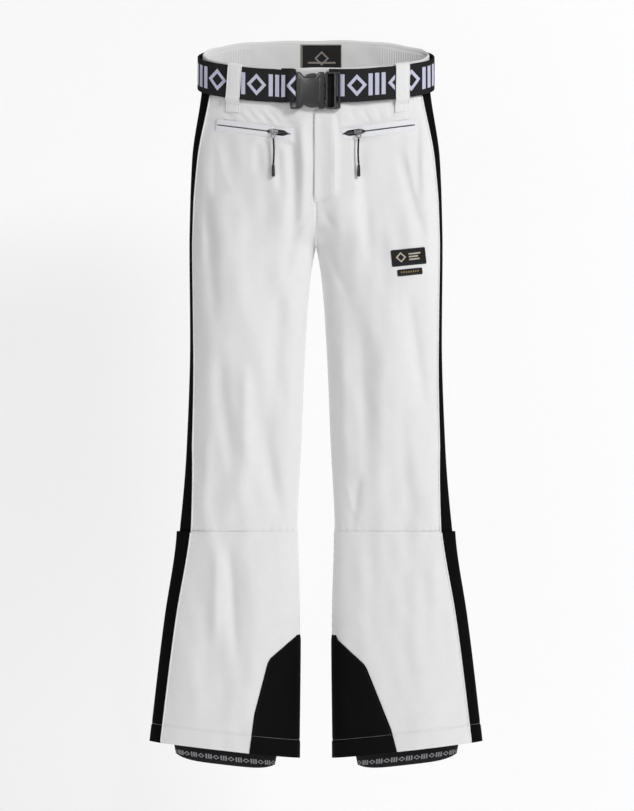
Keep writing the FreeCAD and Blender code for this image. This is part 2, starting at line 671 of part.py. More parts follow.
def build_buckle():
    """Socket, ladder frame with its tongue, and two prongs. The prongs' barbs rest in the side cut-outs."""
    middle = Placement(Vector(0, dim("buckle_back") - dim("buckle_thick") / 2, dim("buckle_z")), Rotation())
    high = dim("buckle_height") / 2
    left, face, right = dim("socket_left"), dim("socket_face"), dim("socket_right")
    socket = new_body("buckle_socket")
    plan = sketch_on(socket, "socket_plan")
    top = [(left, high), (-24, high), (-17, high - 8), (-1, high - 8), (4, high), (right, high)]
    outline(plan, top + [(x, -z) for x, z in reversed(top)])
    pad(socket, plan, "buckle_thick").Midplane = True
    window = sketch_on(socket, "socket_window")
    outline(window, [(left + 3, -high + 2.6), (face, -high + 2.6), (face, high - 2.6), (left + 3, high - 2.6)])
    through(socket, window)
    cavity = sketch_on(socket, "socket_cavity")
    outline(cavity, [(face + 3, -high + 4), (right + 5, -high + 4), (right + 5, high - 4), (face + 3, high - 4)])
    doc.recompute()
    before = socket.Shape.Volume
    hollow = socket.newObject("PartDesign::Pocket", "Cavity")
    hollow.Profile = cavity
    hollow.Midplane = True
    bind(hollow, Length="arm_thick + 0.6")
    doc.recompute()
    if socket.Shape.Volume >= before:
        raise ValueError("the socket's cavity cuts nothing")
    socket.Placement = middle
    near, far = dim("plug_left"), dim("plug_right")
    frame = new_body("buckle_frame")
    plan = sketch_on(frame, "frame_plan")
    outline(plan, [(near, -high), (far, -high), (far, high), (near, high)])
    pad(frame, plan, "frame_thick").Midplane = True
    rungs = sketch_on(frame, "frame_windows")
    for start, end in ((near + 3.4, near + 12.4), (near + 16.8, near + 19.2)):
        outline(rungs, [(start, -high + 3), (end, -high + 3), (end, high - 3), (start, high - 3)])
    through(frame, rungs)
    guide = sketch_on(frame, "tongue_plan")
    half = dim("tongue_width") / 2
    outline(guide, [(face + 6, -half + 2), (face + 9, -half), (near + 1, -half),
                    (near + 1, half), (face + 9, half), (face + 6, half - 2)])
    pad(frame, guide, "arm_thick").Midplane = True
    frame.Placement = middle
    for label, sign in (("upper_prong", 1), ("lower_prong", -1)):
        arm = new_body(label)
        plan = sketch_on(arm, label + "_plan")
        top = [(13.5, 13.5), (13.5, 19.5), (1.0, 20.4), (1.0, 25.6), (-6, 26.2),
               (-14, 24.5), (-19, 20), (-19.5, 16), (-14, 15), (0, 15.5)]
        outline(plan, [(x, sign * z) for x, z in top])
        pad(arm, plan, "arm_thick").Midplane = True
        arm.Placement = middle


def check():
    """Stops before anything is written if an object failed or a sub-part has no sound shape."""
    for thing in doc.Objects:
        if "Invalid" in thing.State or "Error" in thing.State:
            raise ValueError(f"{thing.Label}: {thing.State}")
    for label, part in subparts.items():
        shape = part.Shape
        if shape.isNull() or not shape.isValid() or not shape.Solids:
            raise ValueError(f"{label}: the shape isn't sound")


def main():
    for build in (build_upper_leg, build_lower_leg, build_gaiter, build_waistband, build_belt, build_loops,
                  build_badges, build_label, build_fly, build_pocket_cloth, build_pulls, build_buckle):
        build()
    doc.recompute()
    check()
    os.makedirs("parts", exist_ok=True)
    for label, part in subparts.items():
        print(label, len(part.Shape.Solids), round(part.Shape.Volume / 1000, 2))
        part.Shape.exportStep(f"parts/{label}.step")


if __name__ == "__main__":
    main()
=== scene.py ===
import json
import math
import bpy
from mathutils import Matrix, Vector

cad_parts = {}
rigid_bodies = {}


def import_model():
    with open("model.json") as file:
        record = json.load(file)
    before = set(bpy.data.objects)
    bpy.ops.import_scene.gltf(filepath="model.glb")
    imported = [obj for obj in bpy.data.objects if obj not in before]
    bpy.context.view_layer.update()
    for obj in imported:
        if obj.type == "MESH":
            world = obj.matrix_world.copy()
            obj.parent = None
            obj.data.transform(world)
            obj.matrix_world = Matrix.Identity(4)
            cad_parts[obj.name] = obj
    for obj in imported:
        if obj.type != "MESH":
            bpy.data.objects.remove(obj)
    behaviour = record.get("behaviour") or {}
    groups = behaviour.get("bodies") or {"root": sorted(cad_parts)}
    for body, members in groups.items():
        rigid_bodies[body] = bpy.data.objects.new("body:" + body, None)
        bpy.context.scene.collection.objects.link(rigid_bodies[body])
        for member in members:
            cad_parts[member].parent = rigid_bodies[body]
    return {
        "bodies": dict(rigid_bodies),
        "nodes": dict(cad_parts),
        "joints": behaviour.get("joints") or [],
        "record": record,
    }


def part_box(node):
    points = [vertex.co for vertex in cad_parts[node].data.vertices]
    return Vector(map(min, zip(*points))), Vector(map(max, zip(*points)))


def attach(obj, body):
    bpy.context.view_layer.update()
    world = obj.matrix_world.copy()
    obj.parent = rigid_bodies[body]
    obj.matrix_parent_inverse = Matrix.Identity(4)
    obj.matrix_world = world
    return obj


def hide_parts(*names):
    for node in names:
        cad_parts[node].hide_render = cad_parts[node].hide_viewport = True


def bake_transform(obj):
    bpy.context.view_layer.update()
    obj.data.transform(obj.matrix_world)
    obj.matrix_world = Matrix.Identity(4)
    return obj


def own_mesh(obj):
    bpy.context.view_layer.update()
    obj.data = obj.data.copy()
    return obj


bl_info = {
    "name": "Ski Pants",
    "version": (1, 0, 0),
    "blender": (4, 5, 0),
    "location": "View3D > Sidebar > Ski Pants",
    "description": "Builds flared softshell ski pants with belt, pockets, fly and snow gaiters",
    "category": "Object",
}

import bmesh
import bpy
import numpy as np
from bpy.props import FloatProperty, FloatVectorProperty, IntProperty, PointerProperty
from mathutils import Matrix, Vector

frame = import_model()

# Lengths in this file are millimetres until a mesh is made from them in metres.
MM = 0.001
TURN = 6.283
SIDES = ((1, "left_"), (-1, "right_"))
FORWARD = np.array((0.0, -1.0, 0.0))


# ---------------------------------------------------------------- settings


def colour(text):
    """A linear RGBA colour from an sRGB hex text such as #e9e8e6."""
    parts = [int(text[i:i + 2], 16) / 255 for i in (1, 3, 5)]
    return tuple(c / 12.92 if c <= 0.04045 else ((c + 0.055) / 1.055) ** 2.4 for c in parts) + (1.0,)


def colour_setting(name, text, about):
    return FloatVectorProperty(name=name, description=about, subtype="COLOR", size=4, min=0, max=1,
                               default=colour(text))


def length_setting(name, default, low, high, about):
    return FloatProperty(name=name, description=about, default=default, min=low, max=high, unit="LENGTH",
                         precision=5)


class SkiPantsSettings(bpy.types.PropertyGroup):
    """The look of the pants: cloth colours, cloth thickness, folds and stitches."""
    white: colour_setting("White cloth", "#e9e9e9", "Colour of the leg panels, waistband and loops")
    black: colour_setting("Black cloth", "#030304", "Colour of the side panels and scuff guards")
    laminate: colour_setting("Welt laminate", "#e6e6ea", "Colour of the tape glued round the pocket slits")
    pattern: colour_setting("Belt pattern", "#c9c9de", "Colour of the motif woven into the belt")
    webbing: colour_setting("Belt ground", "#0d0d11", "Colour of the belt behind its motif")
    plastic: colour_setting("Buckle plastic", "#121314", "Colour of the buckle's moulded parts")
    metal: colour_setting("Zip metal", "#8f9092", "Tint of the plated sliders, rings and teeth")
    cloth: length_setting("Cloth thickness", 0.0015, 0.0005, 0.003, "Thickness of the leg panels")
    pucker: length_setting("Seam pucker", 0.00045, 0, 0.002, "Depth of the ripples beside a sewn seam")
    stitch_pitch: length_setting("Stitch pitch", 0.0032, 0.002, 0.008, "Distance from one stitch to the next")
    stitch_length: length_setting("Stitch length", 0.0023, 0.001, 0.007, "Thread seen in one stitch")
    fold_depth: FloatProperty(name="Fold depth", description="Depth of the folds as a share of the design's",
                              subtype="FACTOR", default=1.35, min=0, max=2)
    columns: IntProperty(name="Panel columns", description="Mesh columns across a front or back panel",
                         default=92, min=20, max=160)
    rows: IntProperty(name="Panel rows", description="Mesh rows from waist to boot seam", default=300,
                      min=60, max=400)


def settings():
    return bpy.context.scene.ski_pants


# ---------------------------------------------------------------- the leg's surface

LEVELS = np.array([75.0, 0, -130, -205, -261, -400, -560, -691, -820, -1036])
INNER = np.array([-171.0, -171, -152, -84, 0, 15, 22, 28, 25, 27])
OUTER = np.array([171.0, 171, 187, 190, 191, 190, 195, 206, 227, 253])
DEPTH = np.array([46.0, 46, 51, 51, 48, 42, 36, 32, 37, 43])

# Level of the boot seam, level and slope (per millimetre backwards) of the waist's rim, height of the
# waistband, and half width and half depth of the waist.
BOOT, RIM, SLOPE, BAND = -691.0, 30.0, 0.52, 50.0
WAIST_ACROSS, WAIST_DEEP = 171.0, 46.0


def hermite(t, h, start, end, start_slope, end_slope):
    """A cubic between two values, t from 0 to 1 along a step h, with these slopes at its ends."""
    return ((1 + 2 * t) * (1 - t) ** 2 * start + t * (1 - t) ** 2 * h * start_slope
            + t * t * (3 - 2 * t) * end + t * t * (t - 1) * h * end_slope)



def smooth(values, z):
    """A curve through the values at LEVELS that doesn't overshoot between them."""
    x, y = LEVELS[::-1], values[::-1]
    step = np.diff(x)
    rate = np.diff(y) / step
    slope = np.zeros_like(y)
    same = rate[:-1] * rate[1:] > 0
    weight = step[:-1] + 2 * step[1:], 2 * step[:-1] + step[1:]
    with np.errstate(divide="ignore", invalid="ignore"):
        mean = (weight[0] + weight[1]) / (weight[0] / rate[:-1] + weight[1] / rate[1:])
    slope[1:-1] = np.where(same, mean, 0)
    slope[0], slope[-1] = rate[0], rate[-1]
    z = np.clip(z, x[0], x[-1])
    k = np.clip(np.searchsorted(x, z) - 1, 0, len(x) - 2)
    return hermite((z - x[k]) / step[k], step[k], y[k], y[k + 1], slope[k], slope[k + 1])


def section(z):
    """Centre, half width and half depth of the left leg's oval at a level."""
    inner, outer, depth = smooth(INNER, z), smooth(OUTER, z), smooth(DEPTH, z)
    return (inner + outer) / 2, (outer - inner) / 2, depth


def centre_angle(z):
    """The angle where the oval meets the middle plane, or its inner end below the crotch."""
    centre, half, _ = section(z)
    return np.arccos(np.clip(-centre / half, -1, 1))


def angle_at(z, x):
    """The angle at which the oval's front passes a distance x from the middle."""
    centre, half, _ = section(z)
    return np.arccos(np.clip((x - centre) / half, -1, 1))


def stripe_angle(z):
    """The side stripe's front edge."""
    width = np.interp(-z, [0, 190, 261, 400, 560, 691, 1036], [15, 6, 5.5, 6, 9, 18, 16])
    return angle_at(z, smooth(OUTER, z) - width)


def stripe_back_angle(z):
    """The side stripe's back edge, as an angle to the back."""
    return angle_at(z, smooth(OUTER, z) - 30)


def behind_stripe(z):
    return -stripe_back_angle(z)


def oval(z, angle):
    """x and y on the left leg. Angle 0 is the outer end, and positive angles are the front."""
    centre, half, depth = section(z)
    return centre + half * np.cos(angle), -depth * np.sin(angle)


# Folds: side (1 left, -1 right, of the wearer), front or back, top and bottom level,
# x at the top, the middle and the bottom, half width, and depth (negative for a ridge).
FOLDS = [
    (-1, 1, -58, -330, -40, -33, -48, 10, 5.0), (-1, 1, -55, -250, -22, -21, -20, 9, -2.0),
    (-1, 1, -104, -190, -57, -55, -53, 6, 1.8), (-1, 1, -100, -160, -88, -87, -84, 7, 2.0),
    (-1, 1, -130, -420, -125, -118, -112, 26, -2.6), (-1, 1, -140, -400, -176, -160, -152, 10, 3.0),
    (-1, 1, -100, -330, -168, -172, -176, 7, -1.5), (-1, 1, -400, -640, -146, -136, -122, 13, 5.0),
    (-1, 1, -300, -520, -55, -58, -66, 12, 3.0), (-1, 1, -430, -620, -108, -104, -100, 10, -3.2),
    (-1, 1, -480, -690, -86, -70, -48, 13, 4.5), (-1, 1, -520, -700, -162, -168, -172, 10, -2.5),
    (-1, 1, -420, -600, -36, -40, -44, 8, -2.0), (-1, 1, -690, -880, -152, -150, -156, 9, -3.2),
    (-1, 1, -696, -900, -133, -126, -120, 8, 3.6), (-1, 1, -700, -960, -98, -96, -92, 16, -2.6),
    (-1, 1, -860, -1010, -70, -84, -98, 14, 2.2), (-1, 1, -560, -690, -30, -34, -36, 6, 1.6),
    (1, 1, -60, -330, 64, 72, 90, 10, 3.0), (1, 1, -108, -262, 126, 143, 165, 9, 5.0),
    (1, 1, -120, -300, 92, 104, 118, 12, -2.2), (1, 1, -90, -300, 150, 166, 174, 7, -2.0),
    (1, 1, -310, -520, 138, 150, 168, 9, 3.8), (1, 1, -330, -660, 40, 42, 46, 10, -2.4),
    (1, 1, -360, -640, 66, 72, 78, 11, 2.6), (1, 1, -400, -650, 96, 98, 100, 12, -2.0),
    (1, 1, -480, -700, 128, 134, 152, 12, 2.4), (1, 1, -600, -690, 66, 60, 54, 6, 1.8),
    (1, 1, -610, -680, 44, 52, 66, 5, -1.2), (1, 1, -700, -900, 66, 72, 84, 14, -1.4),
    (1, 1, -700, -960, 120, 132, 150, 15, 1.6), (1, 1, -720, -980, 170, 184, 200, 12, -1.4),
    (-1, -1, -70, -330, -60, -52, -60, 13, 4.0), (-1, -1, -180, -420, -110, -104, -98, 12, 4.0),
    (-1, -1, -260, -560, -60, -64, -72, 14, 4.0), (-1, -1, -430, -690, -130, -124, -110, 14, 4.2),
    (-1, -1, -560, -760, -60, -70, -84, 12, 3.4), (-1, -1, -700, -980, -120, -140, -166, 16, 3.4),
    (-1, -1, -120, -300, -150, -142, -130, 10, 3.0), (-1, -1, -600, -900, -170, -176, -190, 10, -2.2),
    (1, -1, -80, -360, 66, 60, 70, 13, 4.2), (1, -1, -200, -460, 120, 112, 104, 13, 3.8),
    (1, -1, -300, -600, 62, 70, 80, 13, 3.8), (1, -1, -440, -690, 140, 130, 120, 13, 4.2),
    (1, -1, -580, -800, 74, 86, 104, 12, 3.2), (1, -1, -700, -980, 150, 166, 190, 15, 3.2),
    (1, -1, -140, -330, 158, 150, 140, 9, 2.6), (1, -1, -520, -860, 44, 48, 60, 9, -2.2),
]

# Drag lines under the belt and round the pockets: side, x and z of both ends, half width and depth.
CREASES = [
    (-1, -142, -52, -118, -78, 4.5, 1.6), (-1, -128, -50, -96, -80, 4.0, 1.8),
    (-1, -108, -52, -78, -84, 4.0, 2.0), (-1, -92, -52, -64, -82, 3.5, 1.8),
    (-1, -74, -54, -52, -80, 3.2, 1.6), (-1, -160, -62, -168, -104, 5.0, 1.6),
    (1, 52, -54, 60, -74, 3.2, 1.3), (1, 70, -54, 82, -76, 3.4, 1.4),
    (1, 90, -52, 100, -74, 3.4, 1.2), (1, 110, -50, 116, -70, 4.0, 1.4),
    (1, 148, -50, 136, -72, 4.0, 1.6), (1, 30, -58, 34, -92, 4.0, 1.6),
    (1, 4, -205, 30, -236, 6.0, 1.6), (-1, -4, -210, -34, -244, 6.0, 1.8),
    (1, 12, -262, 44, -330, 7.0, 1.6), (-1, -14, -268, -40, -330, 7.0, 1.6),
]

WAVES = np.random.default_rng(41)


def wave_table(count, short, long, reach, upright):
    """Random waves as rows of x rate, z rate, phase and height. Upright waves run down the leg."""
    length = WAVES.uniform(short, long, count)
    lean = WAVES.uniform(-1, 1, count) * upright
    phase = WAVES.uniform(0, TURN, count)
    height = reach * WAVES.uniform(0.4, 1, count) / math.sqrt(count)
    return np.stack([np.cos(lean) * TURN / length, np.sin(lean) * TURN / length, phase, height], 1)


# Long drapes, the ripples between them, and the fine crumple of worn cloth.
BROAD = wave_table(14, 60, 170, 3.0, 0.5)
MIDDLE = wave_table(18, 26, 60, 0.7, 1.0)
CRUMPLE = wave_table(22, 6, 16, 0.05, 1.57)


def waves(table, x, z):
    total = np.zeros(np.broadcast(x, z).shape)
    for rate_x, rate_z, phase, height in table:
        total += height * np.sin(rate_x * x + rate_z * z * 0.6 + phase)
    return total


def ease(t):
    t = np.clip(t, 0, 1)
    return t * t * (3 - 2 * t)


def relief(x, z, side, front):
    """How far the cloth stands out from the plain oval, at its real x and level.

    It is calm on the waistband, at the middle of the front and round the welts, and stands back below them,
    where the pull cords hang.
    """
    total = np.zeros(np.broadcast(x, z).shape)
    for fold_side, fold_front, top, bottom, x0, x1, x2, width, depth in FOLDS:
        if fold_side != side or fold_front != front:
            continue
        t = (top - z) / (top - bottom)
        mid = x0 * (1 - t) ** 2 + (4 * x1 - x0 - x2) * t * (1 - t) + x2 * t * t
        shape = np.exp(-((x - mid) / width) ** 2)
        total -= depth * shape * ease(t / 0.28) * ease((1 - t) / 0.35)
    if front > 0:
        for crease_side, xa, za, xb, zb, width, depth in CREASES:
            if crease_side != side:
                continue
            dx, dz = xb - xa, zb - za
            t = ((x - xa) * dx + (z - za) * dz) / (dx * dx + dz * dz)
            off = ((x - xa) * dz - (z - za) * dx) / math.hypot(dx, dz)
            total -= depth * np.exp(-(off / width) ** 2) * ease(t * 2.2 + 0.35) * ease((1 - t) * 2.2 + 0.35)
    shift = 500.0 * (side * 2 + front)
    total += waves(BROAD, x + shift, z) + waves(MIDDLE, x + shift, z) + waves(CRUMPLE, x + shift, z)
    calm = 0.35 + 0.65 * ease((-45 - z) / 40)
    if front > 0:
        near = np.abs(x)
        calm = calm * (1 - (1 - ease((near - 3) / 20)) * ease((z + 280) / 40))
        along, across = pocket_place(near, z)
        below_welt = (1 - ease((np.abs(along) - 58) / 12)) * ease((z + 190) / 18) * ease((-78 - z) / 12)
        total = total - below_welt * np.maximum(total - 0.4, 0)
        on_welt = (1 - ease((np.abs(along) - 56) / 12)) * (1 - ease((np.abs(across) - 8) / 9))
        calm = calm * (1 - 0.93 * on_welt)
    return total * calm * settings().fold_depth


def cloth_point(z, angle, side, lift=0.0):
    """A point of the cloth's outer face with its folds. side is 1 for the left leg and -1 for the right."""
    x, y = oval(z, angle)
    front = np.where(np.sin(angle) >= 0, 1, -1)
    facing = np.abs(np.sin(angle)) ** 0.8
    out = np.where(front > 0, relief(side * x, z, side, 1), relief(side * x, z, side, -1)) * facing
    centre, half, depth = section(z)
    nx, ny = np.cos(angle) / half, -np.sin(angle) / depth
    size = np.hypot(nx, ny)
    return np.stack([side * (x + lift * nx / size), y - front * out + lift * ny / size, z + 0 * x], -1)


def on_front(x, z, lift=0.0):
    """Points of the pants' front at these x and z, which may lie on both sides of the middle."""
    x, z = np.broadcast_arrays(np.asarray(x, float), np.asarray(z, float))
    angle = angle_at(z, np.maximum(np.abs(x), 0.01))
    return np.where(x[..., None] >= 0, cloth_point(z, angle, 1, lift), cloth_point(z, angle, -1, lift))


# ---------------------------------------------------------------- the pockets' own axes

# Middle of the left pocket's slit; its slant, its turn round the hip and the radius of that turn; half length
# and half height of the welt, where the slider stands and how deep the zip lies.
POCKET = np.array([94.0, -43.1, -85.5])
SLANT, WRAP, ARC = math.radians(-7.5), math.radians(10.2), 352.0
POCKET_HALF, WELT_HALF, SLIDER_AT, ZIP_DEPTH = 59.0, 9.0, -31.0, 4.1


def turned(angle, axis):
    return np.array(Matrix.Rotation(angle, 3, axis))


def pocket_point(along, across, deep, side=1):
    """A point of a pocket: along its zip towards the hip, across it, and into the leg."""
    phi = along / ARC
    radius = ARC - deep
    local = np.stack(np.broadcast_arrays(radius * np.sin(phi), ARC - radius * np.cos(phi), across), -1)
    return (local @ (turned(WRAP, "Z") @ turned(SLANT, "Y")).T + POCKET) * (side, 1, 1)


def pocket_place(x, z):
    """Distance along the zip and across it of a point in the front view of the left pocket."""
    along = (x - POCKET[0]) / (math.cos(SLANT) * math.cos(WRAP))
    return along, z - POCKET[2] - along * math.sin(-SLANT)


def pocket_matrix(along, deep, side):
    """Where a piece sits on the zip: its x along the zip, y into the leg and z across."""
    spot = (Matrix.Translation(Vector(POCKET) * MM) @ Matrix.Rotation(WRAP, 4, "Z")
            @ Matrix.Rotation(SLANT, 4, "Y") @ Matrix.Translation((0, ARC * MM, 0))
            @ Matrix.Rotation(along / ARC, 4, "Z") @ Matrix.Translation((0, (deep - ARC) * MM, 0)))
    return mirrored(spot, side)


def mirrored(spot, side):
    """A place on the left of the pants, or its mirror image on the right."""
    return Matrix.Scale(-1, 4, (1, 0, 0)) @ spot if side < 0 else spot


# ---------------------------------------------------------------- meshes


def linked(name, data):
    """An object in the scene for a mesh or a curve."""
    obj = bpy.data.objects.new(name, data)
    bpy.context.scene.collection.objects.link(obj)
    return obj


def mesh_from(name, points, faces, uv=None, smooth_faces=True):
    """A mesh object from millimetre points, outward-facing and smooth."""
    mesh = bpy.data.meshes.new(name)
    mesh.from_pydata((np.asarray(points, float).reshape(-1, 3) * MM).tolist(), [], faces)
    if uv is not None:
        layer = mesh.uv_layers.new(name="UVMap")
        corners = np.zeros(len(mesh.loops), np.int64)
        mesh.loops.foreach_get("vertex_index", corners)
        spots = np.asarray(uv, float).reshape(-1, 2)[corners] * MM
        layer.data.foreach_set("uv", spots.astype(np.float32).ravel())
    mesh.polygons.foreach_set("use_smooth", [smooth_faces] * len(mesh.polygons))
    mesh.update()
    return linked(name, mesh)


def outward(obj):
    """Turns every face outward."""
    work = bmesh.new()
    work.from_mesh(obj.data)
    bmesh.ops.remove_doubles(work, verts=work.verts, dist=1e-6)
    bmesh.ops.recalc_face_normals(work, faces=work.faces)
    work.to_mesh(obj.data)
    work.free()
    obj.data.update()
    return obj


def grid_normals(points, out):
    """Unit normals of a grid of points, on the side that out points to."""
    normal = np.cross(np.gradient(points, axis=1), np.gradient(points, axis=0))
    normal /= np.maximum(np.linalg.norm(normal, axis=-1, keepdims=True), 1e-9)
    return normal * (1 if (normal * out).sum() > 0 else -1)


def distances(points, axis):
    """Running length along a grid's rows or columns."""
    steps = np.linalg.norm(np.diff(points, axis=axis), axis=2)
    return np.insert(np.cumsum(steps, axis), 0, 0, axis)


def shell(name, points, thick, out, closed=False, keep=None):
    """A closed sheet of cloth whose outer face is a grid of points (rows, columns, 3).

    closed joins the last column to the first. keep marks the grid's quads that are there.
    """
    rows, cols = points.shape[:2]
    normal = grid_normals(points, out)
    if closed:
        normal[:, 0] = normal[:, -1] = (normal[:, 0] + normal[:, -1]) / 2
    across, down = distances(points, 1), distances(points, 0)
    uv = np.stack([across - across[:, cols // 2:cols // 2 + 1], -down], -1).reshape(-1, 2)
    depth = normal * (thick[..., None] if isinstance(thick, np.ndarray) else thick)
    both = np.concatenate([points.reshape(-1, 3), (points - depth).reshape(-1, 3)])
    index = np.arange(rows * cols).reshape(rows, cols)
    quads = np.stack([index[:-1, :-1], index[1:, :-1], index[1:, 1:], index[:-1, 1:]], -1)
    quads = quads[keep] if keep is not None else quads.reshape(-1, 4)
    middle = quads[len(quads) // 2]
    face = np.cross(both[middle[1]] - both[middle[0]], both[middle[2]] - both[middle[0]])
    if (face * normal.reshape(-1, 3)[middle[0]]).sum() < 0:
        quads = quads[:, ::-1]
    edges = np.concatenate([np.stack([quads[:, k], quads[:, (k + 1) % 4]], 1) for k in range(4)])
    size = rows * cols
    free = edges[~np.isin(edges[:, 0] * size + edges[:, 1], edges[:, 1] * size + edges[:, 0])]
    if closed:
        column = free % cols
        free = free[~((column == 0).all(1) | (column == cols - 1).all(1))]
    rims = np.stack([free[:, 1], free[:, 0], free[:, 0] + size, free[:, 1] + size], 1)
    faces = quads.tolist() + (quads[:, ::-1] + size).tolist() + rims.tolist()
    obj = outward(mesh_from(name, both, faces, np.concatenate([uv, uv])))
    cut = both[quads]
    area = np.linalg.norm(np.cross(cut[:, 2] - cut[:, 0], cut[:, 3] - cut[:, 1]), axis=1).sum() / 2
    obj["cut_size"] = (across[:, -1].max() * MM, down[-1].max() * MM, area * MM * MM)
    return obj


def hang(obj, held="hung"):
    """Gives back a piece of cloth as it is."""
    return obj


def flattened(obj):
    """The object with its modifiers made part of its mesh."""
    made = bpy.data.meshes.new_from_object(obj.evaluated_get(bpy.context.evaluated_depsgraph_get()))
    obj.modifiers.clear()
    obj.data = made
    made.polygons.foreach_set("use_smooth", [True] * len(made.polygons))
    return obj


def tube(name, path, radius, sides=10, closed=False):
    """A round wire or cord of cloth along a path, with rounded ends unless it is closed."""
    path = np.asarray(path, float)
    count = len(path)
    tangent = np.roll(path, -1, 0) - np.roll(path, 1, 0) if closed else np.gradient(path, axis=0)
    tangent /= np.linalg.norm(tangent, axis=1, keepdims=True)
    first = np.cross(tangent, (0.13, 0.21, 0.97))
    first /= np.linalg.norm(first, axis=1, keepdims=True)
    second = np.cross(tangent, first)
    turn = np.linspace(0, 2 * math.pi, sides, endpoint=False)
    ring = first[:, None] * np.cos(turn)[:, None] + second[:, None] * np.sin(turn)[:, None]
    rounds = path[:, None] + radius * ring
    run = np.insert(np.cumsum(np.linalg.norm(np.diff(path, axis=0), axis=1)), 0, 0)
    uv = np.stack(np.broadcast_arrays(radius * turn[None, :], run[:, None]), -1).reshape(-1, 2)
    faces = []
    for k in range(count if closed else count - 1):
        a, b = k * sides, (k + 1) % count * sides
        faces += [(a + j, a + (j + 1) % sides, b + (j + 1) % sides, b + j) for j in range(sides)]
    if not closed:
        faces += [tuple(range(sides))[::-1], tuple(range((count - 1) * sides, count * sides))]
    return outward(mesh_from(name, rounds, faces, uv))


def rounded(outline, radius, steps=4):
    """An outline with its corners rounded, by up to half of each side."""
    corners, made = [np.array(p, float) for p in outline], []
    for before, corner, after in zip(corners[-1:] + corners[:-1], corners, corners[1:] + corners[:1]):
        sides = [np.linalg.norm(before - corner), np.linalg.norm(after - corner)]
        reach = min(radius, 0.48 * sides[0], 0.48 * sides[1])
        start = corner + (before - corner) / sides[0] * reach
        end = corner + (after - corner) / sides[1] * reach
        for t in np.linspace(0, 1, steps + 1):
            made.append(tuple(start * (1 - t) ** 2 + corner * 2 * t * (1 - t) + end * t * t))
    return made


def mirrored_outline(half):
    """A closed outline from its upper half, given from left to right."""
    return list(half) + [(x, -z) for x, z in reversed(half)]


def box_outline(left, right, low, high):
    return [(left, low), (right, low), (right, high), (left, high)]


def plate(name, outlines, thick, bevel, centre=(0, 0, 0)):
    """A flat piece in the XZ plane with bevelled edges. Outlines inside the first are holes."""
    curve = bpy.data.curves.new(name, "CURVE")
    curve.dimensions, curve.fill_mode = "2D", "BOTH"
    curve.extrude, curve.bevel_depth, curve.bevel_resolution = (thick / 2 - bevel) * MM, bevel * MM, 2
    curve.offset = -bevel * MM
    for outline in outlines:
        spline = curve.splines.new("POLY")
        spline.points.add(len(outline) - 1)
        for point, (x, z) in zip(spline.points, outline):
            point.co = (x * MM, z * MM, 0, 1)
        spline.use_cyclic_u = True
    holder = bpy.data.objects.new(name + "_curve", curve)
    mesh = bpy.data.meshes.new_from_object(holder)
    bpy.data.objects.remove(holder)
    bpy.data.curves.remove(curve)
    mesh.transform(Matrix.Translation(Vector(centre) * MM) @ Matrix.Rotation(math.pi / 2, 4, "X"))
    mesh.name = name
    return outward(linked(name, mesh))


def joined(name, pieces):
    """Several mesh objects as one, with its own UV map kept."""
    work = bmesh.new()
    for piece in pieces:
        work.from_mesh(piece.data)
    mesh = bpy.data.meshes.new(name)
    work.to_mesh(mesh)
    work.free()
    for piece in pieces:
        bpy.data.objects.remove(piece)
    mesh.polygons.foreach_set("use_smooth", [True] * len(mesh.polygons))
    return linked(name, mesh)


def moulded(name, pieces, voxel=0.5, passes=5, hollow=None):
    """Pieces fused into one moulding with soft edges. hollow is a piece whose shape is taken away."""
    obj = joined(name, pieces)
    if hollow:
        cut = obj.modifiers.new("hollow", "BOOLEAN")
        cut.operation, cut.object, cut.use_self = "DIFFERENCE", hollow, True
    fuse = obj.modifiers.new("fuse", "REMESH")
    fuse.mode, fuse.voxel_size = "VOXEL", voxel * MM
    soften = obj.modifiers.new("soften", "SMOOTH")
    soften.factor, soften.iterations = 0.5, passes
    flattened(obj)
    if hollow:
        bpy.data.objects.remove(hollow)
    return obj


def set_in(obj, place):
    """Moves a finished mesh to its place, which may be a mirror image."""
    obj.data.transform(place)
    if place.determinant() < 0:
        obj.data.flip_normals()
    return obj


def reshaped(obj, change):
    """Moves an object's points, which change() takes and gives back in millimetres."""
    points = np.zeros(len(obj.data.vertices) * 3)
    obj.data.vertices.foreach_get("co", points)
    obj.data.vertices.foreach_set("co", (change(points.reshape(-1, 3) / MM) * MM).ravel())
    obj.data.update()
    return obj


# ---------------------------------------------------------------- repeats along a line


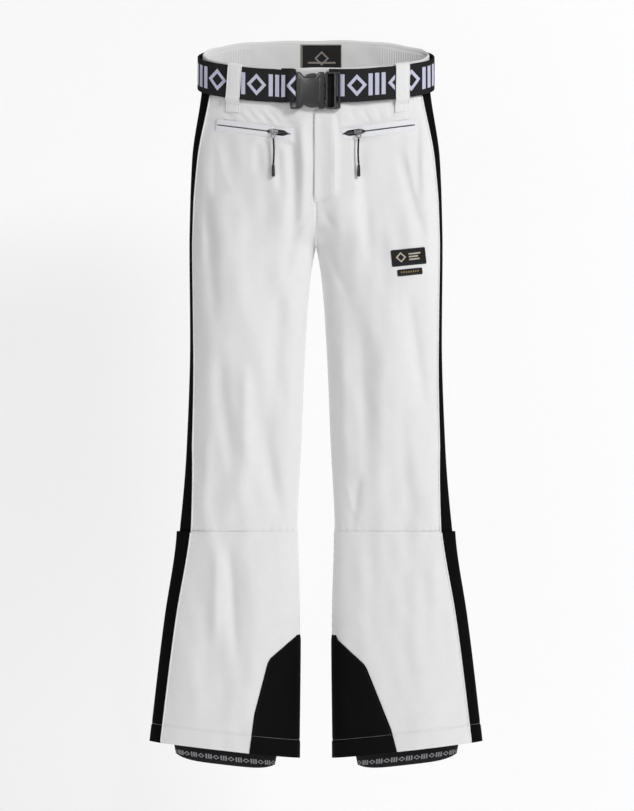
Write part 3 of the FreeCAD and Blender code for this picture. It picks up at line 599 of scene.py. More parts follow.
def repeat_tree():
    """Node tree that sets a shape along lines, turned with the line and with its "up" attribute."""
    if "repeat_along" in bpy.data.node_groups:
        return bpy.data.node_groups["repeat_along"]
    tree = bpy.data.node_groups.new("repeat_along", "GeometryNodeTree")
    face = tree.interface
    face.new_socket("Lines", in_out="INPUT", socket_type="NodeSocketGeometry")
    for name, kind in (("Shape", "NodeSocketObject"), ("Pitch", "NodeSocketFloat"),
                       ("Finish", "NodeSocketMaterial")):
        face.new_socket(name, in_out="INPUT", socket_type=kind)
    face.new_socket("Geometry", in_out="OUTPUT", socket_type="NodeSocketGeometry")
    given = node(tree, "NodeGroupInput").outputs
    curve = node(tree, "GeometryNodeMeshToCurve", {"Mesh": given["Lines"]})
    spots = node(tree, "GeometryNodeCurveToPoints", {"Curve": curve.outputs[0], "Length": given["Pitch"]},
                 mode="LENGTH")
    up = node(tree, "GeometryNodeInputNamedAttribute", {"Name": "up"}, data_type="FLOAT_VECTOR")
    along = node(tree, "FunctionNodeAlignRotationToVector", {"Vector": spots.outputs["Tangent"]}, axis="X")
    facing = node(tree, "FunctionNodeAlignRotationToVector",
                  {"Rotation": along.outputs[0], "Vector": up.outputs["Attribute"]}, axis="Z", pivot_axis="X")
    shape = node(tree, "GeometryNodeObjectInfo", {"Object": given["Shape"]})
    copies = node(tree, "GeometryNodeInstanceOnPoints", {"Points": spots.outputs["Points"],
                  "Instance": shape.outputs["Geometry"], "Rotation": facing.outputs[0]})
    real = node(tree, "GeometryNodeRealizeInstances", {"Geometry": copies.outputs[0]})
    done = node(tree, "GeometryNodeSetMaterial", {"Geometry": real.outputs[0], "Material": given["Finish"]})
    node(tree, "NodeGroupOutput", {"Geometry": done.outputs[0]})
    return tree


def repeat_along(name, lines, shape, pitch, finish):
    """Copies of a shape along lines, each a pair of points and of directions that face outwards."""
    points, ups, edges = [], [], []
    for line, facing in lines:
        start = len(points)
        points += list(line)
        ups += list(np.broadcast_to(facing, np.shape(line)))
        edges += [(k, k + 1) for k in range(start, len(points) - 1)]
    mesh = bpy.data.meshes.new(name)
    mesh.from_pydata((np.array(points) * MM).tolist(), edges, [])
    up = mesh.attributes.new("up", "FLOAT_VECTOR", "POINT")
    up.data.foreach_set("vector", np.array(ups, np.float32).ravel())
    obj = linked(name, mesh)
    tree = repeat_tree()
    repeat = obj.modifiers.new("repeat", "NODES")
    repeat.node_group = tree
    sockets = {item.name: item.identifier for item in tree.interface.items_tree if item.in_out == "INPUT"}
    repeat[sockets["Shape"]] = shape
    repeat[sockets["Pitch"]] = pitch * MM
    repeat[sockets["Finish"]] = look(finish)
    return flattened(obj)


def small_shape(name, size):
    """A small rounded grain, such as one stitch or one tooth, of this length, width and height."""
    work = bmesh.new()
    bmesh.ops.create_uvsphere(work, u_segments=6, v_segments=4, radius=0.5)
    bmesh.ops.rotate(work, verts=work.verts, matrix=Matrix.Rotation(math.pi / 2, 3, "Y"))
    bmesh.ops.scale(work, vec=Vector(size) * MM, verts=work.verts)
    mesh = bpy.data.meshes.new(name)
    work.to_mesh(mesh)
    work.free()
    return bpy.data.objects.new(name, mesh)


def stitches(name, lines, thread="thread", pitch=None):
    """A seam's stitches, each a rounded grain of thread."""
    s = settings()
    grain = small_shape("stitch_grain", (s.stitch_length / MM, 0.75, 0.6))
    obj = repeat_along(name, lines, grain, pitch or s.stitch_pitch / MM, thread)
    bpy.data.objects.remove(grain)
    return obj


def leg_line(side, z, angle, lift=-0.2):
    """A line on the cloth, with the directions that face out of it."""
    z, angle = np.broadcast_arrays(np.asarray(z, float), np.asarray(angle, float))
    low, high = cloth_point(z, angle, side, lift), cloth_point(z, angle, side, lift + 1.0)
    return low, high - low


def front_line(x, z, lift=-0.2):
    """The same for a line on the pants' front."""
    low, high = on_front(x, z, lift), on_front(x, z, lift + 1.0)
    return low, high - low


# How far a panel's outer mesh lines lie from its border.
EDGE = np.array([0, 0.5, 1.1, 1.9, 3.0, 4.6, 7.0])


def spread(count, length):
    """Shares from 0 to 1 for each of count samples, close together near both ends. length may be an array."""
    length = np.maximum(np.asarray(length, float)[..., None], 30)
    low, high = EDGE / length, 1 - EDGE[::-1] / length
    inside = np.linspace(0, 1, count - 2 * len(EDGE) + 2)[1:-1]
    middle = low[..., -1:] + (high[..., :1] - low[..., -1:]) * inside
    return np.concatenate([low, middle, high], -1)


def leg_grid(angles, top, bottom, cols, rows):
    """Levels and angles of a panel between two border angles, and between a top and a bottom line.

    angles are functions of the level. top and bottom are functions of a point's x and y on the left leg.
    """
    share = spread(rows, 600.0)[:, None]
    z = np.broadcast_to(-300 + 0 * share, (rows, cols)).copy()
    start, end = angles
    s = np.linspace(0, 1, cols)[None, :]
    for _ in range(6):
        angle = start(z) * (1 - s) + end(z) * s
        x, y = oval(z, angle)
        width = np.hypot(np.diff(x, axis=1), np.diff(y, axis=1)).sum(1)
        s = spread(cols, width)
        z = top(x[:1], y[:1]) * (1 - share) + bottom(x[-1:], y[-1:]) * share
    return z, start(z) * (1 - s) + end(z) * s


def panel(name, side, angles, top, bottom, cols, rows, seams="lrtb", lift=0.0, thick=None, groove=None,
          hole=None):
    """A cloth panel of one leg. seams names the borders (left, right, top, bottom) that are sewn down.

    groove gives a stitched line's distance from a point of the panel, and hole marks the points to leave out.
    """
    s = settings()
    z, angle = leg_grid(angles, top, bottom, cols, rows)
    points = cloth_point(z, angle, side, lift(z, angle) if callable(lift) else lift)
    x, y = oval(z, angle)
    centre, half, depth = section(z)
    out = np.stack([side * (x - centre) / half ** 2, y / depth ** 2, 0 * z], -1)
    across, down = distances(points, 1), distances(points, 0)
    normal = grid_normals(points, out)
    gap = {"l": across, "r": across[:, -1:] - across, "t": down, "b": down[-1:] - down}
    along = {"l": down, "r": down, "t": across, "b": across}
    dent = np.zeros(z.shape)
    for border in seams:
        d, run = gap[border], along[border]
        dent += 0.85 * np.exp(-(d / 1.3) ** 2)
        wobble = np.sin(run * 0.62 + 2.1 * np.sin(run * 0.071)) * (0.6 + 0.4 * np.sin(run * 0.043 + 1.3))
        dent += s.pucker / MM * wobble * np.exp(-((d - 4.2) / 4.0) ** 2)
    if groove:
        dent += 1.3 * np.exp(-(groove(x, z) / 1.5) ** 2) - 0.6 * ease((4 - groove(x, z)) / 8)
    points = points - normal * dent[..., None]
    keep = None
    if hole:
        inside = hole(points)
        keep = ~(inside[:-1, :-1] | inside[1:, :-1] | inside[1:, 1:] | inside[:-1, 1:])
    return shell(name, points, thick or s.cloth / MM, out, keep=keep)


# ---------------------------------------------------------------- materials


def node(tree, kind, inputs=None, **settings_of):
    """Adds a shader node, sets its properties, and sets or links its inputs."""
    made = tree.nodes.new(kind)
    for key, value in settings_of.items():
        setattr(made, key, value)
    for key, value in (inputs or {}).items():
        socket = made.inputs[key]
        if isinstance(value, bpy.types.NodeSocket):
            tree.links.new(value, socket)
        else:
            socket.default_value = value
    return made


def material(name):
    made = bpy.data.materials.new(name)
    made.use_nodes = True
    made.node_tree.nodes.clear()
    return made


def finish_with(mat, **inputs):
    """Ends a material in one surface shader with these inputs."""
    tree = mat.node_tree
    named = {key.replace("_", " "): value for key, value in inputs.items()}
    shader = node(tree, "ShaderNodeBsdfPrincipled", named)
    node(tree, "ShaderNodeOutputMaterial", {"Surface": shader.outputs[0]})
    return mat


def weave_height(tree, coords, thread):
    """Height of a plain weave with this thread spacing in metres."""
    parts = []
    for direction in ("X", "Y"):
        wave = node(tree, "ShaderNodeTexWave", {"Vector": coords, "Scale": 1 / thread / TURN * 2,
                    "Distortion": 1.2, "Detail": 1.0, "Detail Scale": 2.0}, wave_type="BANDS",
                    bands_direction=direction)
        parts.append(wave.outputs["Fac"])
    return formula(tree, ("MULTIPLY", *parts))


def cloth_material(name, base, thread=0.0007, bump=0.25, roughness=0.85, sheen=0.25, mottle=0.03, gloss=0.18):
    """Woven cloth: a fine weave, a faint mottle and a soft sheen. thread is its spacing in metres."""
    mat = material(name)
    tree = mat.node_tree
    coords = node(tree, "ShaderNodeTexCoord").outputs["UV"]
    weave = weave_height(tree, coords, thread)
    blotch = node(tree, "ShaderNodeTexNoise", {"Vector": coords, "Scale": 55.0, "Detail": 4.0,
                  "Roughness": 0.6})
    fuzz = node(tree, "ShaderNodeTexNoise", {"Vector": coords, "Scale": 1400.0, "Detail": 2.0})
    height = formula(tree, ("ADD", weave, fuzz.outputs["Fac"]))
    relief_node = node(tree, "ShaderNodeBump", {"Height": height, "Strength": bump, "Distance": 0.00012})
    dark = tuple(c * (1 - mottle * 2) for c in base[:3]) + (1.0,)
    tone = node(tree, "ShaderNodeMix", {"Factor": blotch.outputs["Fac"], "A": dark, "B": base},
                data_type="RGBA")
    return finish_with(mat, Base_Color=tone.outputs["Result"], Roughness=roughness,
                       Normal=relief_node.outputs[0], Sheen_Weight=sheen, Sheen_Roughness=0.5,
                       Specular_IOR_Level=gloss)


def hard_material(name, base, roughness=0.4, metallic=0.0, grain=900.0, bump=0.08, coat=0.0):
    """Moulded plastic or metal with a fine grain and uneven gloss."""
    mat = material(name)
    tree = mat.node_tree
    coords = node(tree, "ShaderNodeTexCoord").outputs["Object"]
    fine = node(tree, "ShaderNodeTexNoise", {"Vector": coords, "Scale": grain, "Detail": 3.0})
    wide = node(tree, "ShaderNodeTexNoise", {"Vector": coords, "Scale": 60.0, "Detail": 5.0,
                "Roughness": 0.65})
    gloss = node(tree, "ShaderNodeMapRange", {"Value": wide.outputs["Fac"], "From Min": 0.3, "From Max": 0.7,
                 "To Min": roughness - 0.07, "To Max": roughness + 0.09})
    relief_node = node(tree, "ShaderNodeBump", {"Height": fine.outputs["Fac"], "Strength": bump,
                       "Distance": 0.0001})
    return finish_with(mat, Base_Color=base, Roughness=gloss.outputs[0], Metallic=metallic,
                       Normal=relief_node.outputs[0], Coat_Weight=coat, Coat_Roughness=0.14)


MADE = {}


def tint(name):
    """A colour from a setting's name or from a hex text."""
    return colour(name) if name.startswith("#") else tuple(getattr(settings(), name))


def look(name):
    """The named material, made the first time it is asked for."""
    if name not in MADE:
        maker, base, options = FINISHES[name]
        MADE[name] = maker(name, tint(base), **options)
    return MADE[name]


def dress(obj, name, slot=None):
    """Gives a piece its material."""
    obj.data.materials.clear()
    obj.data.materials.append(look(name))
    slot or name
    return obj


def formula(tree, recipe, known=None):
    """The output of a nested recipe such as ("ADD", u, ("MULTIPLY", v, 2)). Equal parts share one node."""
    if not isinstance(recipe, tuple):
        return recipe
    known = {} if known is None else known
    if recipe not in known:
        inputs = {place: formula(tree, part, known) for place, part in enumerate(recipe[1:])}
        known[recipe] = node(tree, "ShaderNodeMath", inputs, operation=recipe[0]).outputs[0]
    return known[recipe]


def inside_of(value, low, high):
    """1 where a value lies between two limits, else 0."""
    return ("MULTIPLY", ("GREATER_THAN", value, low), ("LESS_THAN", value, high))


def block(u, v, left, right, low, high):
    return ("MULTIPLY", inside_of(u, left, right), inside_of(v, low, high))


def diamond(u, v, x, half_wide, half_tall, stroke):
    """A hollow diamond round a point on the middle line."""
    beside = ("DIVIDE", ("ABSOLUTE", ("SUBTRACT", u, x)), half_wide)
    return inside_of(("ADD", beside, ("DIVIDE", ("ABSOLUTE", v), half_tall)), 1 - stroke, 1.0)


def all_of(parts):
    total = parts[0]
    for part in parts[1:]:
        total = ("MAXIMUM", total, part)
    return total


def patterned_material(name, ground, ink, motif, thread, roughness=0.7, bump=0.5, rib=0.0):
    """Cloth or rubber with a motif in a second colour. motif() makes a formula of u and v in metres."""
    mat = material(name)
    tree = mat.node_tree
    coords = node(tree, "ShaderNodeTexCoord").outputs["UV"]
    split = node(tree, "ShaderNodeSeparateXYZ", {0: coords})
    shape = formula(tree, motif(split.outputs[0], split.outputs[1]))
    blotch = node(tree, "ShaderNodeTexNoise", {"Vector": coords, "Scale": 900.0, "Detail": 3.0})
    worn = node(tree, "ShaderNodeMapRange", {"Value": blotch.outputs["Fac"], "From Min": 0.3, "From Max": 0.6,
                "To Min": 0.82, "To Max": 1.0}).outputs[0]
    share = formula(tree, ("MULTIPLY", shape, worn))
    tone = node(tree, "ShaderNodeMix", {"Factor": share, "A": ground, "B": tint(ink)}, data_type="RGBA")
    ribs = ("SINE", ("MULTIPLY", split.outputs[0], TURN / rib)) if rib else 0.0
    weave = ("ADD", weave_height(tree, coords, thread), ribs)
    height = formula(tree, ("ADD", weave, ("MULTIPLY", shape, 0.8)))
    relief_node = node(tree, "ShaderNodeBump", {"Height": height, "Strength": bump, "Distance": 0.00015})
    return finish_with(mat, Base_Color=tone.outputs["Result"], Roughness=roughness,
                       Normal=relief_node.outputs[0], Specular_IOR_Level=0.3)


def belt_motif(unit, tall, split=0.0):
    """Hollow diamonds and upright bars in turn, each unit this long, in metres."""
    def motif(u, v):
        v = ("SUBTRACT", v, split)
        run = ("MULTIPLY", ("FRACT", ("DIVIDE", u, unit)), unit)
        bars = [block(run, v, unit * a, unit * (a + 0.1), -tall, tall) for a in (0.56, 0.72, 0.88)]
        return all_of([diamond(run, v, unit * 0.26, unit * 0.24, tall, 0.42), *bars])
    return motif


def badge_motif(half_width, half_height):
    """A diamond with three bars beside it."""
    def motif(u, v):
        v = ("ADD", v, half_height)
        rows = [block(u, v, 0.0, half_width * reach, level, level + 0.0022)
                for reach, level in ((0.72, 0.003), (0.55, -0.0012), (0.64, -0.0054))]
        return all_of([diamond(u, v, -half_width * 0.46, 0.0078, 0.0078, 0.34), *rows])
    return motif


def strip_motif(half_height):
    """A row of dashes."""
    def motif(u, v):
        dashes = inside_of(("FRACT", ("DIVIDE", u, 0.0036)), 0.2, 0.75)
        return ("MULTIPLY", ("MULTIPLY", dashes, inside_of(("ADD", v, half_height), -0.0012, 0.0012)),
                inside_of(u, -0.014, 0.014))
    return motif


def label_motif(half_width, half_height):
    """A diamond over a bar, inside a border."""
    def motif(u, v):
        v = ("ADD", v, half_height)
        wide, tall = half_width - 0.0014, half_height - 0.0014
        inner = block(u, v, -wide, wide, -tall, tall)
        return all_of([diamond(u, v, 0.0, 0.011, 0.011, 0.3), ("SUBTRACT", 1.0, inner),
                       block(u, v, -0.021, 0.021, -0.008, -0.0054)])
    return motif


# Each finish: what makes it, its colour, and its own values. Thread spacings are metres. Weaves and threads that
# are finer than this in life are drawn this coarse so that they show.
FINISHES = {
    # Bonded stretch softshell, woven: matt, so its folds show as soft grey and its threads only close by.
    "white_softshell": (cloth_material, "white", {}),
    # Folded satin binding, woven: a thin brighter line along a seam.
    "white_piping": (cloth_material, "#f0f0ee", {"thread": 0.0006}),
    # Glued polyurethane tape, laminated: smooth, a little glossy, and colder than the cloth.
    "white_laminate": (cloth_material, "laminate", {"bump": 0.08, "roughness": 0.42, "sheen": 0.0,
                                                    "mottle": 0.01}),
    # Softshell dyed black: swallows light, so its folds hardly show.
    "black_softshell": (cloth_material, "black", {"sheen": 0.0, "mottle": 0.08, "gloss": 0.1}),
    # Dense nylon scuff cloth, plain woven: a dull gleam on coarse threads, 1.1 mm apart so that they show.
    "black_guard": (cloth_material, "black", {"thread": 0.0011, "bump": 0.6, "roughness": 0.72, "sheen": 0.0,
                                              "mottle": 0.1, "gloss": 0.1}),
    # Coated nylon, woven and calendered: thin, dark and slightly shiny on its gathers.
    "gaiter_cloth": (cloth_material, "#141416", {"thread": 0.0006, "roughness": 0.5, "sheen": 0.0}),
    # Brushed tricot, knitted: a warm, dull off-white.
    "lining": (cloth_material, "#d9d8d4", {"thread": 0.001, "bump": 0.4}),
    # Polyester zip tape, woven: plain black between the teeth.
    "zip_tape": (cloth_material, "#101012", {"thread": 0.0006, "sheen": 0.0}),
    # Spun polyester thread: each stitch a small soft grain.
    "thread": (cloth_material, "#f2f1ee", {"thread": 0.0004, "sheen": 0.1}),
    "grey_thread": (cloth_material, "#8c8c8e", {"thread": 0.0004, "sheen": 0.1}),
    "dark_thread": (cloth_material, "#1d1d20", {"thread": 0.0004, "sheen": 0.1}),
    # Elastic webbing, jacquard woven: fine upright ribs and a raised pale motif.
    "webbing": (patterned_material, "webbing", {"ink": "pattern", "motif": belt_motif(0.062, 0.0165, -0.0248),
                                                "thread": 0.0011, "rib": 0.0016}),
    # Knitted elastic: the same kind of motif, small and grey.
    "black_elastic": (patterned_material, "#0a0a0c", {"ink": "#a4a4a9", "thread": 0.0009, "rib": 0.0015,
                                                      "motif": belt_motif(0.023, 0.0038, -0.0165)}),
    # Soft silicone rubber, moulded: dull black with a raised motif in a sandy tone.
    "thigh_badge": (patterned_material, "#0d0d10", {"ink": "#bdb6a6", "motif": badge_motif(0.026, 0.0125),
                                                    "thread": 0.0008, "roughness": 0.45, "bump": 0.2}),
    "thigh_strip": (patterned_material, "#17140f", {"ink": "#8d7a55", "motif": strip_motif(0.005),
                                                    "thread": 0.0008, "roughness": 0.45, "bump": 0.2}),
    # Damask label, woven: flat black with a thin pale border.
    "label": (patterned_material, "#0f0f11", {"ink": "#8f8a80", "motif": label_motif(0.0305, 0.021),
                                              "thread": 0.0007}),
    # Acetal, moulded in a satin tool: deep black with a broad soft highlight and thin bright edges.
    "buckle_plastic": (hard_material, "plastic", {"roughness": 0.4, "grain": 1400.0, "bump": 0.04,
                                                  "coat": 0.7}),
    # Zinc, die cast and gunmetal plated: grey with small sharp glints.
    "dark_metal": (hard_material, "metal", {"roughness": 0.34, "metallic": 1.0}),
    # Brass, stamped and nickel plated: bright and slightly warm.
    "snap_metal": (hard_material, "#b8b6b0", {"roughness": 0.25, "metallic": 1.0}),
    # Polyester cord, braided: matt black and bumpy.
    "cord": (hard_material, "#0c0c0e", {"roughness": 0.75, "grain": 700.0, "bump": 0.8}),
    # Soft thermoplastic rubber, injected: matt black.
    "tip_rubber": (hard_material, "#151517", {"roughness": 0.5, "grain": 1200.0}),
}


def finish(name, finish_name):
    """Gives a design piece that stays as it is a real finish."""
    obj = bpy.data.objects[name]
    for held in obj.material_slots:
        held.material = look(finish_name)


def place(obj, name, finish_name, body=None, held=None, slot=None):
    """Dresses a piece and names it for the design's part whose place it takes.

    body is the body it rides on, and held is not used.
    """
    dress(obj, finish_name, slot)
    obj.name = name + "_finished"
    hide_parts(name)
    if body:
        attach(obj, body)
    if held:
        hang(obj, held)
    return obj


# ---------------------------------------------------------------- operators


def band_bottom(x, y):
    return RIM - BAND - 0.4 + SLOPE * y


def at_boot(x, y):
    return BOOT + 0 * x


def at_boot_top(x, y):
    """The lower leg starts a little above the seam, with a folded edge."""
    return BOOT + 1.6 + 0 * x


def hem_line(x):
    """The hem's level at a distance x from the middle."""
    return -1031 + (x - 27) * math.tan(math.radians(6.5))


def at_hem(x, y):
    return hem_line(x)


HEM_STITCH = 27.0


def flare_lift(z, angle):
    """How far the lower leg's cloth stands outside the upper leg's, most of all at its top and outer side."""
    return 1.3 + 3.0 * np.clip(np.cos(angle), 0, 1) ** 3 * np.exp(np.minimum(z - BOOT, 0) / 55)


def hem_groove(x, z):
    return z - hem_line(x) - HEM_STITCH


def fixed(value):
    return lambda z: value + 0 * z


GUARD = {1: ([-835, -840, -853, -889, -896, -986, -1040], [25.5, 29, 34, 73, 77, 113, 127]),
         -1: ([-832, -836, -847, -880, -887, -964, -1040], [25.5, 28, 31, 69, 73, 93, 103])}


def guard_lift(z, angle):
    """The guard lies on the leg, thinning to a point at its top."""
    return 0.7 + 1.6 * ease((-839 - z) / 16)


def guard_angle(side):
    """The scuff guard's border: a peak at the inseam, a shoulder, and a long edge down to the hem."""
    levels, reach = GUARD[side]
    return lambda z: angle_at(z, np.interp(-z, -np.array(levels, float), reach))


def guard_top(x, y):
    return -835.5 + 0 * x


def fly_edges(z):
    """The placket's free edge and its sewn edge, which curves in at the bottom like a J."""
    curve = np.clip((-z - 168) / 27, 0, 1)
    return -2.6 + 0 * z, 25.5 - 25 * (1 - np.sqrt(np.clip(1 - curve ** 2, 0, 1)))


def eye_half(along):
    """Half the welt's opening: a narrow slit that widens to an eye round the slider."""
    eye = 4.3 * ease((along + 57) / 13) * (1 - ease((along + 30) / 14))
    return np.maximum(0.8, eye)


def front_hole(points):
    """Where the front panel is cut away, behind the welt and the placket."""
    x, z = points[..., 0], points[..., 2]
    along, across = pocket_place(np.abs(x), z)
    left, right = fly_edges(z)
    fly = (x > 1.0) & (x < right - 3.0) & (z < -60) & (z > -191.5)
    return fly | ((np.abs(along) < 55) & (np.abs(across) < 6.5))


def across_boot(obj):
    """Bakes a leg panel's place into its mesh."""
    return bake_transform(obj)


class SKIPANTS_OT_upper_legs(bpy.types.Operator):
    """Front, back and side panels of both upper legs"""
    bl_idname = "ski_pants.upper_legs"
    bl_label = "Upper legs"

    def execute(self, context):
        s = settings()
        for side, name in SIDES:
            parts = (("front_panel", (stripe_angle, centre_angle), s.columns, "white_softshell"),
                     ("side_panel", (behind_stripe, stripe_angle), 40, "black_softshell"),
                     ("back_panel", (lambda z: -centre_angle(z), behind_stripe), s.columns,
                      "white_softshell"))
            for part, angles, cols, cloth in parts:
                hole = front_hole if part == "front_panel" else None
                obj = panel(name + part, side, angles, band_bottom, at_boot, cols, s.rows, hole=hole)
                across_boot(place(obj, name + part, cloth))
                hang(obj)
        return {"FINISHED"}


class SKIPANTS_OT_lower_legs(bpy.types.Operator):
    """Flared lower legs, scuff guards and hem facings"""
    bl_idname = "ski_pants.lower_legs"
    bl_label = "Lower legs"

    def execute(self, context):
        s = settings()
        for side, name in SIDES:
            parts = (("flare_front", (stripe_angle, fixed(math.pi)), s.columns, "white_softshell"),
                     ("flare_side", (behind_stripe, stripe_angle), 40, "black_softshell"),
                     ("flare_back", (fixed(-math.pi), behind_stripe), s.columns, "white_softshell"))
            for part, angles, cols, cloth in parts:
                self.piece(side, name, part, angles, cols, cloth, at_boot_top, flare_lift, "lr")
            guard = guard_angle(side)
            self.piece(side, name, "scuff_guard", (guard, lambda z, edge=guard: 2 * math.pi - edge(z)), 90,
                       "black_guard", guard_top, guard_lift, "")
            whole = (fixed(-math.pi), fixed(math.pi))
            facing = panel(name + "hem_facing", side, whole, lambda x, y: hem_line(x) + 27.5,
                           lambda x, y: hem_line(x) + 0.8, 150, 24, seams="", lift=-0.9, thick=0.8)
            place(facing, name + "hem_facing", "lining", name + "lower_leg", "folded")
        return {"FINISHED"}

    @staticmethod
    def piece(side, name, part, angles, cols, cloth, top, lift, seams):
        rows = settings().rows // 2
        obj = panel(name + part, side, angles, top, at_hem, cols, rows, seams, lift, groove=hem_groove)
        across_boot(place(obj, name + part, cloth))
        hang(obj)


class SKIPANTS_OT_piping(bpy.types.Operator):
    """Thin cords of white cloth along the front edge of the black side panels"""
    bl_idname = "ski_pants.piping"
    bl_label = "Piping"

    def execute(self, context):
        for side, name in SIDES:
            for part, top, bottom in (("piping", -34.0, BOOT + 0.6),
                                      ("flare_piping", BOOT - 0.6, hem_line(236) + 1.5)):
                z = np.linspace(top, bottom, 240)
                lift = 0.35 + (flare_lift(z, stripe_angle(z)) if part == "flare_piping" else 0)
                path = cloth_point(z, stripe_angle(z) + 0.012, side, lift)
                obj = tube(name + part, path, 1.15, 8)
                across_boot(place(obj, name + part, "white_piping"))
        return {"FINISHED"}


# The gaiter cuff's oval: its centre's distance from the middle, half width and half depth.
CUFF_CENTRE, CUFF_ACROSS, CUFF_DEEP = 137.0, 77.6, 29.6


class SKIPANTS_OT_gaiters(bpy.types.Operator):
    """Snow gaiters inside the lower legs, with elastic cuffs that show below the hems"""
    bl_idname = "ski_pants.gaiters"
    bl_label = "Snow gaiters"

    def execute(self, context):
        turn = np.linspace(-math.pi, math.pi, 181)
        for side, name in SIDES:
            share = np.linspace(0, 1, 90)[:, None]
            down = ease(share / 0.96)
            centre, half, depth = section(-790.0)
            middle = centre * (1 - down) + CUFF_CENTRE * down
            wide = (half - 3.4) * (1 - down) + 77.4 * down
            deep = (depth - 3.4) * (1 - down) + 29.4 * down - 9 * (1 - ease((share - 0.72) / 0.25))
            x = middle + wide * np.cos(turn)
            y = -deep * np.sin(turn)
            z = -790 + (hem_line(x) + 3.4 + 790) * share
            gather = 1.1 * ease((share - 0.55) / 0.4) * np.sin(turn * 34 + 2.2 * np.sin(turn * 5 + 1))
            points, out = self.pushed(x, y, z, middle, wide, deep, gather - 0.8, side)
            sleeve = shell(name + "gaiter_sleeve", points, 0.8, out, closed=True)
            place(sleeve, name + "gaiter_sleeve", "gaiter_cloth", name + "lower_leg")
            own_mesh(sleeve)
            hang(sleeve, "gathered")
            share = spread(26, 27.0)[:, None]
            x = CUFF_CENTRE + (CUFF_ACROSS - 3.5 * share) * np.cos(turn)
            y = -CUFF_DEEP * np.sin(turn) + 0 * share
            z = hem_line(x) + 3.2 - (25.2 - 7 * np.abs(np.cos(turn)) ** 5) * share
            edge = np.minimum(share, 1 - share) * 25.2
            ribs = 0.32 * np.sin(edge * 2.6) - 0.9 * np.exp(-(edge / 0.8) ** 2)
            if side < 0:
                lap = 0.9 * ease((turn - 1.62) / 0.02)
            else:
                lap = 0.9 * (ease((1.45 - turn) / 0.02) * (turn > -0.2))
            points, out = self.pushed(x, y, z, CUFF_CENTRE, CUFF_ACROSS, CUFF_DEEP,
                                      ribs + 0.3 * np.sin(turn * 40) + lap, side)
            cuff = shell(name + "gaiter_cuff", points, 2.0, out, closed=True)
            place(cuff, name + "gaiter_cuff", "black_elastic", name + "gaiter_cuff_body", "stretched")
        return {"FINISHED"}

    @staticmethod
    def pushed(x, y, z, middle, wide, deep, push, side):
        """Points of an oval ring moved outwards by push, and its outward directions."""
        nx, ny = (x - middle) / wide ** 2, y / deep ** 2
        size = np.hypot(nx, ny)
        points = np.stack([side * (x + push * nx / size), y + push * ny / size, z], -1)
        return points, np.stack([side * nx, ny, 0 * z], -1)


def waist_normal(x, y, z):
    """Directions that face out of the waist's oval."""
    out = np.stack([x / WAIST_ACROSS ** 2, y / WAIST_DEEP ** 2, 0 * z], -1)
    return out / np.linalg.norm(out, axis=-1, keepdims=True)


class SKIPANTS_OT_waistband(bpy.types.Operator):
    """Two front halves and the higher back of the waistband, with elastic channels and a sewn-in label"""
    bl_idname = "ski_pants.waistband"
    bl_label = "Waistband"

    def execute(self, context):
        for name, start, end, cols in (("left_front_waistband", 0.0, math.pi / 2, 120),
                                       ("right_front_waistband", math.pi / 2, math.pi, 120),
                                       ("back_waistband", -math.pi, 0.0, 420)):
            angle = start + (end - start) * spread(cols, 270.0)
            share = spread(40, 50.0)[:, None]
            x, y = WAIST_ACROSS * np.cos(angle) + 0 * share, -WAIST_DEEP * np.sin(angle) + 0 * share
            top = RIM + SLOPE * y + self.wave(angle)
            z = top - BAND * share
            down = share * BAND
            normal = waist_normal(x, y, z)
            roll = np.exp(-(down / 1.2) ** 2)
            points = np.stack([x, y, z], -1) - normal * roll[..., None] * 0.9
            run = distances(points, 1)
            elastic = ease((np.abs(x) - 92) / 12) * ease((168 - np.abs(x)) / 6) if cols > 200 else 0 * x
            ribs = np.abs(np.sin(run * math.pi / 3.75)) * ease((down - 7) / 3) * ease((47 - down) / 3)
            folds = 0.5 * np.sin(x * 0.13 + 0.9 * np.sin(down * 0.12)) * ease((down - 6) / 12)
            groove = np.exp(-((down - 6) / 0.8) ** 2)
            thick = (3.0 - 1.5 * roll + elastic * (0.9 * ribs - 0.3) + folds * (1 - elastic) * 0.6
                     - 0.45 * groove)
            place(shell(name, points, thick, normal), name, "white_softshell", "pants", "hung")
        self.label()
        return {"FINISHED"}

    @staticmethod
    def wave(angle):
        """A little unevenness of the rim."""
        return 0.9 * np.sin(angle * 5 + 0.6) * np.abs(np.sin(angle)) + 0.5 * np.sin(angle * 13)

    @staticmethod
    def label():
        low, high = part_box("waist_label")
        x = np.linspace(low[0], high[0], 50)[None, :] / MM
        z = np.linspace(high[2], low[2], 34)[:, None] / MM
        inside = 1 - (x / 168) ** 2
        y = 42.2 * np.sqrt(inside) - 0.6 + 0.5 * np.sin(x * 0.11) * ease((high[2] / MM - z) / 30) + 0 * z
        points = np.stack(np.broadcast_arrays(x, y, z), -1)
        obj = shell("waist_label", points, 0.9, FORWARD)
        place(obj, "waist_label", "label", "pants")


# The belt's oval (half width and half depth of its outer face), its thickness and its width.
BELT_ACROSS, BELT_DEEP, BELT_THICK, BELT_WIDTH = 178.8, 52.8, 2.2, 49.6


